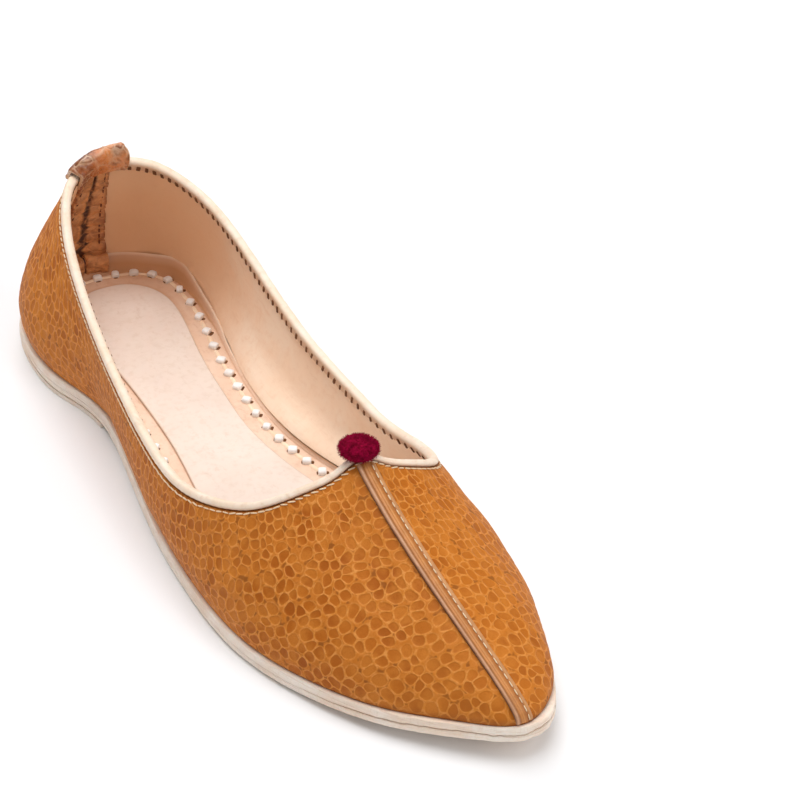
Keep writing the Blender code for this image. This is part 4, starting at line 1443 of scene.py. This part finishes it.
def make_insole_board(paint):
    """Insole board with a rolled rim against the lining and a scored line inside it."""
    outline = sole_loop(1600)
    tall = smooth_step(outline[:, 1], 38.0, 9.0)
    near = smooth_step(outline[:, 1], 66.0, 36.0)
    rings = []
    for inset, rise in RIM:
        lean = 1.8 * np.clip(rise / 2.05, 0.0, 1.0) * tall
        narrow = np.clip(inset - 3.7, 0.0, 3.5) * 0.45 * (1.0 - near)
        loop = inset_loop(outline, (inset - lean - narrow + foot_shift(outline[:, 1]))[:, None])
        grow = 0.30 + 0.70 * near + 2.0 * tall if rise > 0.2 else 1.0
        height = board_height(loop[:, 1]) + rise * grow
        ring = centred_loop(loop, 300)
        twin = np.argmin(np.hypot(*(ring[:, None] - loop[None, ::2]).transpose(2, 0, 1)), axis=1)
        rings.append(np.column_stack((ring, height[::2][twin])))
    rings = np.array(rings)

    def relief(points):
        moved = points.copy()
        moved[:, 2] += 0.10 * ripple(points, 11.0, 31) + 0.04 * ripple(points, 3.0, 32)
        return moved

    def values(points, count):
        # painted highlight along the top of the rim
        edge = np.zeros(len(points))
        edge[:count] = np.repeat((0, 0, 0, 0.4, 0.85, 0.7, 0.2, 0, 0, 0, 0, 0, 0, 0), rings.shape[1])
        # painted shade: at the heel over the rim's faces and along the pad's edge, and all round on the rim's
        # outer face and in the scored groove
        stain = np.full(len(points), 0.3)
        stain[:count] = np.repeat((1, 1, 1, 0.8, 0.4, 0.5, 0.9, 1, 1, 1, 1, 0.9, 0.6, 0.4), rings.shape[1])
        cushion = pad_outline(400)
        gap = np.min(np.hypot(*(points[:, None, :2] - cushion[None]).transpose(2, 0, 1)), axis=1)
        stain = np.maximum(stain, 0.75 * np.exp(-(gap / 1.8) ** 2)) * smooth_step(points[:, 1], 75.0, 12.0)
        stain[:count] += np.repeat((0, 0, 0.5, 0.2, 0, 0, 0, 0, 0.1, 0.3, 0.4, 0.2, 0, 0), rings.shape[1])
        return {"edge": edge, "stain": np.clip(stain, 0.0, 1.0)}
    slab("insole_board", rings, paint, ["insole"], values, 48, relief)


LACE_PITCH = ((0.0, 6.1), (18.0, 6.4), (34.0, 9.4), (58.0, 9.0), (75.0, 8.0), (100.0, 7.8), (115.0, 7.1),
              (260.0, 7.0))


def lace_places(loop, phase):
    """Places round a closed outline at the lacing's pitch, with the way along it."""
    closed = np.concatenate((loop, loop[:1]))
    pitch = np.interp(closed[:, 1], *zip(*LACE_PITCH))
    steps = np.linalg.norm(np.diff(closed, axis=0), axis=1)
    turns = np.concatenate(([0.0], np.cumsum(steps / pitch[:-1])))
    count = round(turns[-1])
    wanted = (np.arange(count) + phase) * turns[-1] / count
    spot = np.stack([np.interp(wanted, turns, closed[:, k]) for k in range(2)], axis=1)
    ahead = np.stack([np.interp(wanted + 0.1, turns, closed[:, k], period=turns[-1])
                      for k in range(2)], axis=1)
    along = np.column_stack((unit(ahead - spot), np.zeros(count)))
    return np.column_stack((spot, board_height(spot[:, 1]))), along


def make_lacing(white, lace, hole):
    """White leather lace round the pad: barrels slanted across the row, dark patches of painted shade in
    their holes, runs between.
    """
    loop = pad_outline(900)
    away = 4.8 + 1.3 * smooth_step(loop[:, 1], 30.0, 14.0)
    away += 1.5 * smooth_step(loop[:, 1], 32.0, 22.0) * smooth_step(loop[:, 0], 4.0, 12.0)
    loop = loop + (inset_loop(loop, -1.0) - loop) * away[:, None]
    vary = np.random.default_rng(7)
    spot, along = lace_places(loop, 0.0)
    count = len(spot)
    up = np.tile((0.0, 0.0, 1.0), (count, 1))
    side = np.cross(along, up)
    slant = np.interp(spot[:, 1], (14.0, 24.0, 32.0, 45.0, 115.0), (8.0, 28.0, 36.0, 45.0, 40.0))
    slant += 4.0 * vary.standard_normal(count)
    turn = np.radians(slant)[:, None]
    way = side * np.cos(turn) + along * np.sin(turn)
    long = 1.22 + 0.12 * smooth_step(spot[:, 1], 30.0, 62.0)
    sizes = np.column_stack((long, np.full(count, 1.45), np.full(count, 1.08)))
    sizes = sizes * (1.0 + 0.06 * vary.standard_normal((count, 3)))
    scatter("lace_barrels", lozenge(11, 14, 3.0, 0.74), spot + 0.45 * up, way, up, sizes, white,
            "pad_leather")
    # dark patches at both ends of each barrel, larger at one end: painted shade in the lace holes
    reach = (long + 0.15)[:, None]
    ends = np.concatenate((spot + reach * way, spot - (reach + 0.1) * way)) + (0.0, 0.0, 0.03)
    both = np.concatenate((way, way))
    sizes = np.concatenate((np.tile((0.24, 0.80, 0.14), (count, 1)), np.tile((0.55, 0.95, 0.18), (count, 1))))
    sizes = sizes * (1.0 + 0.15 * vary.standard_normal((2 * count, 3)))
    scatter("lace_holes", lozenge(7, 10), ends, both, np.tile((0.0, 0.0, 1.0), (2 * count, 1)), sizes, hole,
            "brown_leather")
    between, along = lace_places(loop, 0.5)
    sizes = np.tile((2.4, 0.72, 0.46), (len(between), 1))
    scatter("lace_runs", lozenge(), between, along, np.tile((0.0, 0.0, 1.0), (len(between), 1)), sizes, lace,
            "peach_leather")


PAD_SWELL = 0.55


def make_pad(paint):
    """Thin padded sheet: its upper side is blown up by a cloth simulation, with the edge held down."""
    outline = centred_loop(inset_loop(pad_outline(900), 0.35), 64)
    base = lambda line: board_height(line[:, 1]) + 0.12
    top = lambda line: board_height(line[:, 1]) + CLEAR + 0.55
    profile = ((0.5, 0.0), (0.1, 0.1), (0.0, 0.45), (0.12, 0.85), (0.5, 1.0), (1.3, 1.12))
    rings = edge_rings(outline, profile, base, top)
    count = rings.shape[0] * rings.shape[1]
    side = count - 2 * rings.shape[1]
    values = lambda points, _: {"edge": np.where(np.arange(len(points)) < side, 0.7, 0.0)}
    pad = slab("insole_cushion", rings, paint, ["insole_pad"], values, 18)
    held = pad.vertex_groups.new(name="held")
    start = np.array([v.co for v in pad.data.vertices])
    upper = np.zeros(len(start), bool)
    last = (len(start) - count) // 2
    upper[count + last:] = True
    held.add([int(i) for i in np.nonzero(~upper)[0]], 1.0, "REPLACE")
    cloth = pad.modifiers.new("cloth", "CLOTH")
    cloth.settings.use_pressure = True
    cloth.settings.uniform_pressure_force = 4.0
    cloth.settings.effector_weights.gravity = 0.0
    cloth.settings.vertex_group_mass = "held"
    for number in range(1, 21):
        bpy.context.scene.frame_set(number)
    shown = bpy.context.evaluated_depsgraph_get()
    blown = np.array([v.co for v in pad.evaluated_get(shown).data.vertices])
    pad.modifiers.clear()
    bpy.context.scene.frame_set(1)
    rise = np.clip((blown - start)[:, 2] / MM, 0.0, 50.0)
    capped = PAD_SWELL * (1.0 - np.exp(-rise / PAD_SWELL))
    start[:, 2] += upper * capped * MM
    spots = start / MM
    start[:, 2] += upper * MM * (0.07 * ripple(spots, 16.0, 41) + 0.03 * ripple(spots, 5.0, 42))
    for vertex, place in zip(pad.data.vertices, start.tolist()):
        vertex.co = place
    smooth = pad.modifiers.new("smooth", "SUBSURF")
    smooth.levels = smooth.render_levels = 2
    apply_modifiers(pad)
    return pad


# ---------------------------------------------------------------- pompom

def make_pompom(wall, paint):
    """Felt ball on the peak of the collar: lumpy and covered in short fibres."""
    top = wall.controls[wall.peak, 3]
    centre = np.array(top) + (0.0, 0.0, POMPOM_RISE)
    shape = bmesh.new()
    bmesh.ops.create_icosphere(shape, subdivisions=6, radius=1.0)
    ball = np.array([v.co for v in shape.verts])
    faces = [tuple(v.index for v in face.verts) for face in shape.faces]
    shape.free()
    size = 0.5 * np.array(POMPOM)
    points = ball * size
    lumps = 0.28 * ripple(points, 3.0, 51) + 0.14 * ripple(points, 1.1, 52) + 0.07 * ripple(points, 0.5, 53)
    points = points * (1.0, 1.0, 0.84) + (lumps - 0.25)[:, None] * ball + centre
    tone = np.clip(0.3 * ripple(points, 1.2, 54), 0.0, 1.0)
    pompom = make_piece("felt_ball", points, faces, paint, ["pompom"], {"tone": tone}, 180.0)

    vary = np.random.default_rng(9)
    count = 2600
    way = unit(vary.standard_normal((count, 3)))
    way[:, 2] = np.abs(way[:, 2]) * np.where(vary.random(count) < 0.8, 1.0, -0.5)
    way = unit(way)
    root = way * (size * (1.0, 1.0, 0.84) - 0.3) + centre
    lean = unit(way + 0.9 * vary.standard_normal((count, 3)))
    sizes = np.column_stack((vary.uniform(0.3, 0.6, count), np.full(count, 0.045), np.full(count, 0.045)))
    outs = unit(np.cross(lean, vary.standard_normal((count, 3))))
    scatter("felt_fibres", lozenge(4, 4), root + 0.35 * lean, lean, outs, sizes, paint, "maroon_felt")
    return pompom


# ---------------------------------------------------------------- floor, light and camera

CAMERA_AZIMUTH, CAMERA_ELEVATION, CAMERA_ROLL = -28.406, 34.592, 0.942
CAMERA_DISTANCE = 830.0
CAMERA_SHIFT = (-40.395, -6.760)
CAMERA_LENS = 2823.0 / 800.0 * 36.0


def make_floor(paint):
    side = 3000.0
    count = 25
    steps = np.linspace(-side, side, count)
    points = [(x, y, 0.02 * math.sin(0.002 * x) - 0.06) for x in steps for y in steps]
    faces = [(i * count + k, i * count + k + 1, (i + 1) * count + k + 1, (i + 1) * count + k)
             for i in range(count - 1) for k in range(count - 1)]
    mesh = bpy.data.meshes.new("floor")
    mesh.from_pydata([(x * MM, y * MM, z * MM) for x, y, z in points], [], faces)
    mesh.materials.append(paint)
    floor = bpy.data.objects.new("floor", mesh)
    bpy.context.scene.collection.objects.link(floor)


LIGHT_WIDTH = 1.2
LIGHTS = (
    # name, place in metres, watts
    ("overhead", (0.0, 0.0, 1.6), 17.2),
    ("back", (0.0, 1.1, 1.2), 11.8),
    ("front", (0.9, -1.0, 1.0), 10.4),
    ("fill", (-1.2, -0.6, 0.9), 4.4),
)


def make_light(name, place, width, watts):
    light = bpy.data.lights.new(name, "AREA")
    light.shape = "SQUARE"
    light.size = width
    light.energy = watts
    lamp = bpy.data.objects.new(name, light)
    lamp.location = place
    lamp.rotation_euler = (-Vector(place)).to_track_quat("-Z", "Y").to_euler()
    bpy.context.scene.collection.objects.link(lamp)


def make_lights():
    world = bpy.data.worlds.new("studio")
    bpy.context.scene.world = world
    world.use_nodes = True
    back = world.node_tree.nodes["Background"]
    back.inputs["Color"].default_value = (0.98, 0.99, 1.0, 1.0)
    back.inputs["Strength"].default_value = 0.06
    for name, place, watts in LIGHTS:
        make_light(name, place, LIGHT_WIDTH, watts)


def make_camera():
    azimuth, elevation, roll = (math.radians(v) for v in (CAMERA_AZIMUTH, CAMERA_ELEVATION, CAMERA_ROLL))
    back = Vector((math.sin(azimuth) * math.cos(elevation), -math.cos(azimuth) * math.cos(elevation),
                   math.sin(elevation)))
    level = Vector((math.cos(azimuth), math.sin(azimuth), 0.0))
    rise = back.cross(level)
    right = math.cos(roll) * level + math.sin(roll) * rise
    up = math.cos(roll) * rise - math.sin(roll) * level
    place = (Vector((-MIDDLE, 0.0, 30.0)) - CAMERA_SHIFT[0] * right - CAMERA_SHIFT[1] * up
             + CAMERA_DISTANCE * back)
    matrix = Matrix((right, up, back)).transposed().to_4x4()
    matrix.translation = place * MM
    lens = bpy.data.cameras.new("camera")
    lens.sensor_width = 36.0
    lens.lens = CAMERA_LENS
    lens.clip_start = 0.01
    camera = bpy.data.objects.new("camera", lens)
    camera.matrix_world = matrix
    bpy.context.scene.collection.objects.link(camera)
    bpy.context.scene.camera = camera


# ---------------------------------------------------------------- the whole shoe

SEAM_TONES = (
    # colour across the vamp strip, from its outer edge to its inner edge: the strip's own colours, with
    # painted shade at the outer edge, in the step beside the rolled rim and in the stitched groove, and
    # painted highlight on the rolled rim
    (0.00, rgb(92, 50, 24)),
    (0.06, rgb(188, 132, 94)),
    (0.14, rgb(212, 162, 126)),
    (0.22, rgb(172, 112, 64)),
    (0.26, rgb(162, 100, 48)),
    (0.31, rgb(198, 124, 56)),
    (0.36, rgb(216, 144, 74)),
    (0.40, rgb(196, 122, 56)),
    (0.47, rgb(214, 144, 74)),
    (0.52, rgb(196, 122, 54)),
    (0.64, rgb(184, 114, 54)),
    (0.72, rgb(166, 102, 48)),
    (0.79, rgb(206, 142, 82)),
    (0.90, rgb(212, 152, 98)),
    (1.00, rgb(198, 134, 72)),
)
HEEL_TONES = (
    # colour across the strip inside the heel
    (0.00, rgb(150, 90, 50)),
    (0.10, rgb(214, 150, 98)),
    (0.40, rgb(220, 154, 98)),
    (0.465, rgb(60, 28, 12)),
    (0.545, rgb(60, 28, 12)),
    (0.61, rgb(220, 154, 98)),
    (0.90, rgb(206, 144, 94)),
    (1.00, rgb(150, 90, 50)),
)
TAB_TONES = (
    (0.00, rgb(222, 142, 82)),
    (0.35, rgb(214, 128, 62)),
    (0.60, rgb(196, 110, 52)),
    (0.80, rgb(158, 84, 38)),
    (1.00, rgb(176, 98, 50)),
)


def main():
    make_camera()
    wall = Wall()
    cream_thread = plain_fibre("cream thread", rgb(246, 222, 186), rgb(220, 184, 140), 0.25, 0.65)
    brown_thread = plain_fibre("brown thread", rgb(104, 58, 30), rgb(76, 40, 20), 0.25, 0.7)
    # dark patches of painted shade in the collar's slots and the lace holes
    hole_shade = plain_fibre("painted hole shade", rgb(122, 78, 44), rgb(84, 50, 26), 0.4, 0.75, 0.02)
    white_lace = plain_fibre("white leather lace", rgb(254, 253, 252), rgb(230, 224, 218), 0.6, 0.45,
                             0.05, 0.1)
    tan_lace = plain_fibre("tan lace", rgb(255, 232, 204), rgb(238, 198, 160), 0.5, 0.5)
    # the lining's last colour is painted shade towards the heel
    lining = smooth_leather("peach lining", rgb(255, 224, 196), rgb(255, 231, 207), rgb(242, 204, 172),
                            16.0, 0.07, (0.9, 0.18, 0.9), stain=rgb(240, 194, 150))
    # the band's edge colour is a painted highlight on the rim's top, and its last colour is painted shade
    board = smooth_leather("insole band", rgb(235, 200, 174), rgb(241, 211, 188), rgb(208, 162, 130),
                           12.0, 0.05, (0.7, 0.3, 0.7), 0.45, rgb(252, 230, 208),
                           stain=rgb(206, 154, 112))
    cushion = smooth_leather("pad leather", rgb(231, 213, 200), rgb(236, 220, 208), rgb(214, 190, 170),
                             22.0, 0.04, (0.6, 0.35, 1.0), 0.55, rgb(176, 142, 114), 0.05)
    # the binding's edge colour is painted shade on the inner side of the roll and under it
    roll = smooth_leather("cream binding", rgb(248, 222, 196), rgb(252, 232, 212), rgb(228, 192, 158),
                          9.0, 0.05, (0.8, 0.3, 0.8), 0.5, rgb(196, 144, 102), 0.05)
    seam = cracked_leather("seam strip leather", SEAM_TONES, 2.6, (1.0, 0.4, 1.0), 0.02, (196, 138, 92), 0.2,
                           clouds=0.2)
    bands = cracked_leather("heel band leather", HEEL_TONES, 3.6, (0.6, 0.8, 1.1), 0.14, (236, 170, 116),
                            0.35, 0.2)
    tab = cracked_leather("tab leather", TAB_TONES, 4.6, (0.9, 0.9, 1.0), 0.14, (250, 206, 168), 0.5, 0.5,
                          0.85)
    raw = raw_leather("raw sole leather", rgb(250, 228, 208), rgb(255, 242, 228), rgb(220, 186, 160))

    make_upper_skin(wall, flat_pattern(wall), pebbled_leather())
    make_lining(wall, lining)
    make_binding(wall, roll)
    make_collar_stitches(wall, cream_thread, hole_shade)
    make_vamp_strip(wall, seam, cream_thread)
    make_heel_strip(wall, bands, brown_thread)
    make_heel_fold(wall, bands)
    make_pull_tab(wall, tab)
    make_sole(raw)
    make_insole_board(board)
    make_lacing(white_lace, tan_lace, hole_shade)
    make_pad(cushion)
    make_pompom(wall, felt())
    make_floor(floor_paint())
    make_lights()
    bpy.context.scene.view_settings.view_transform = "Standard"


main()
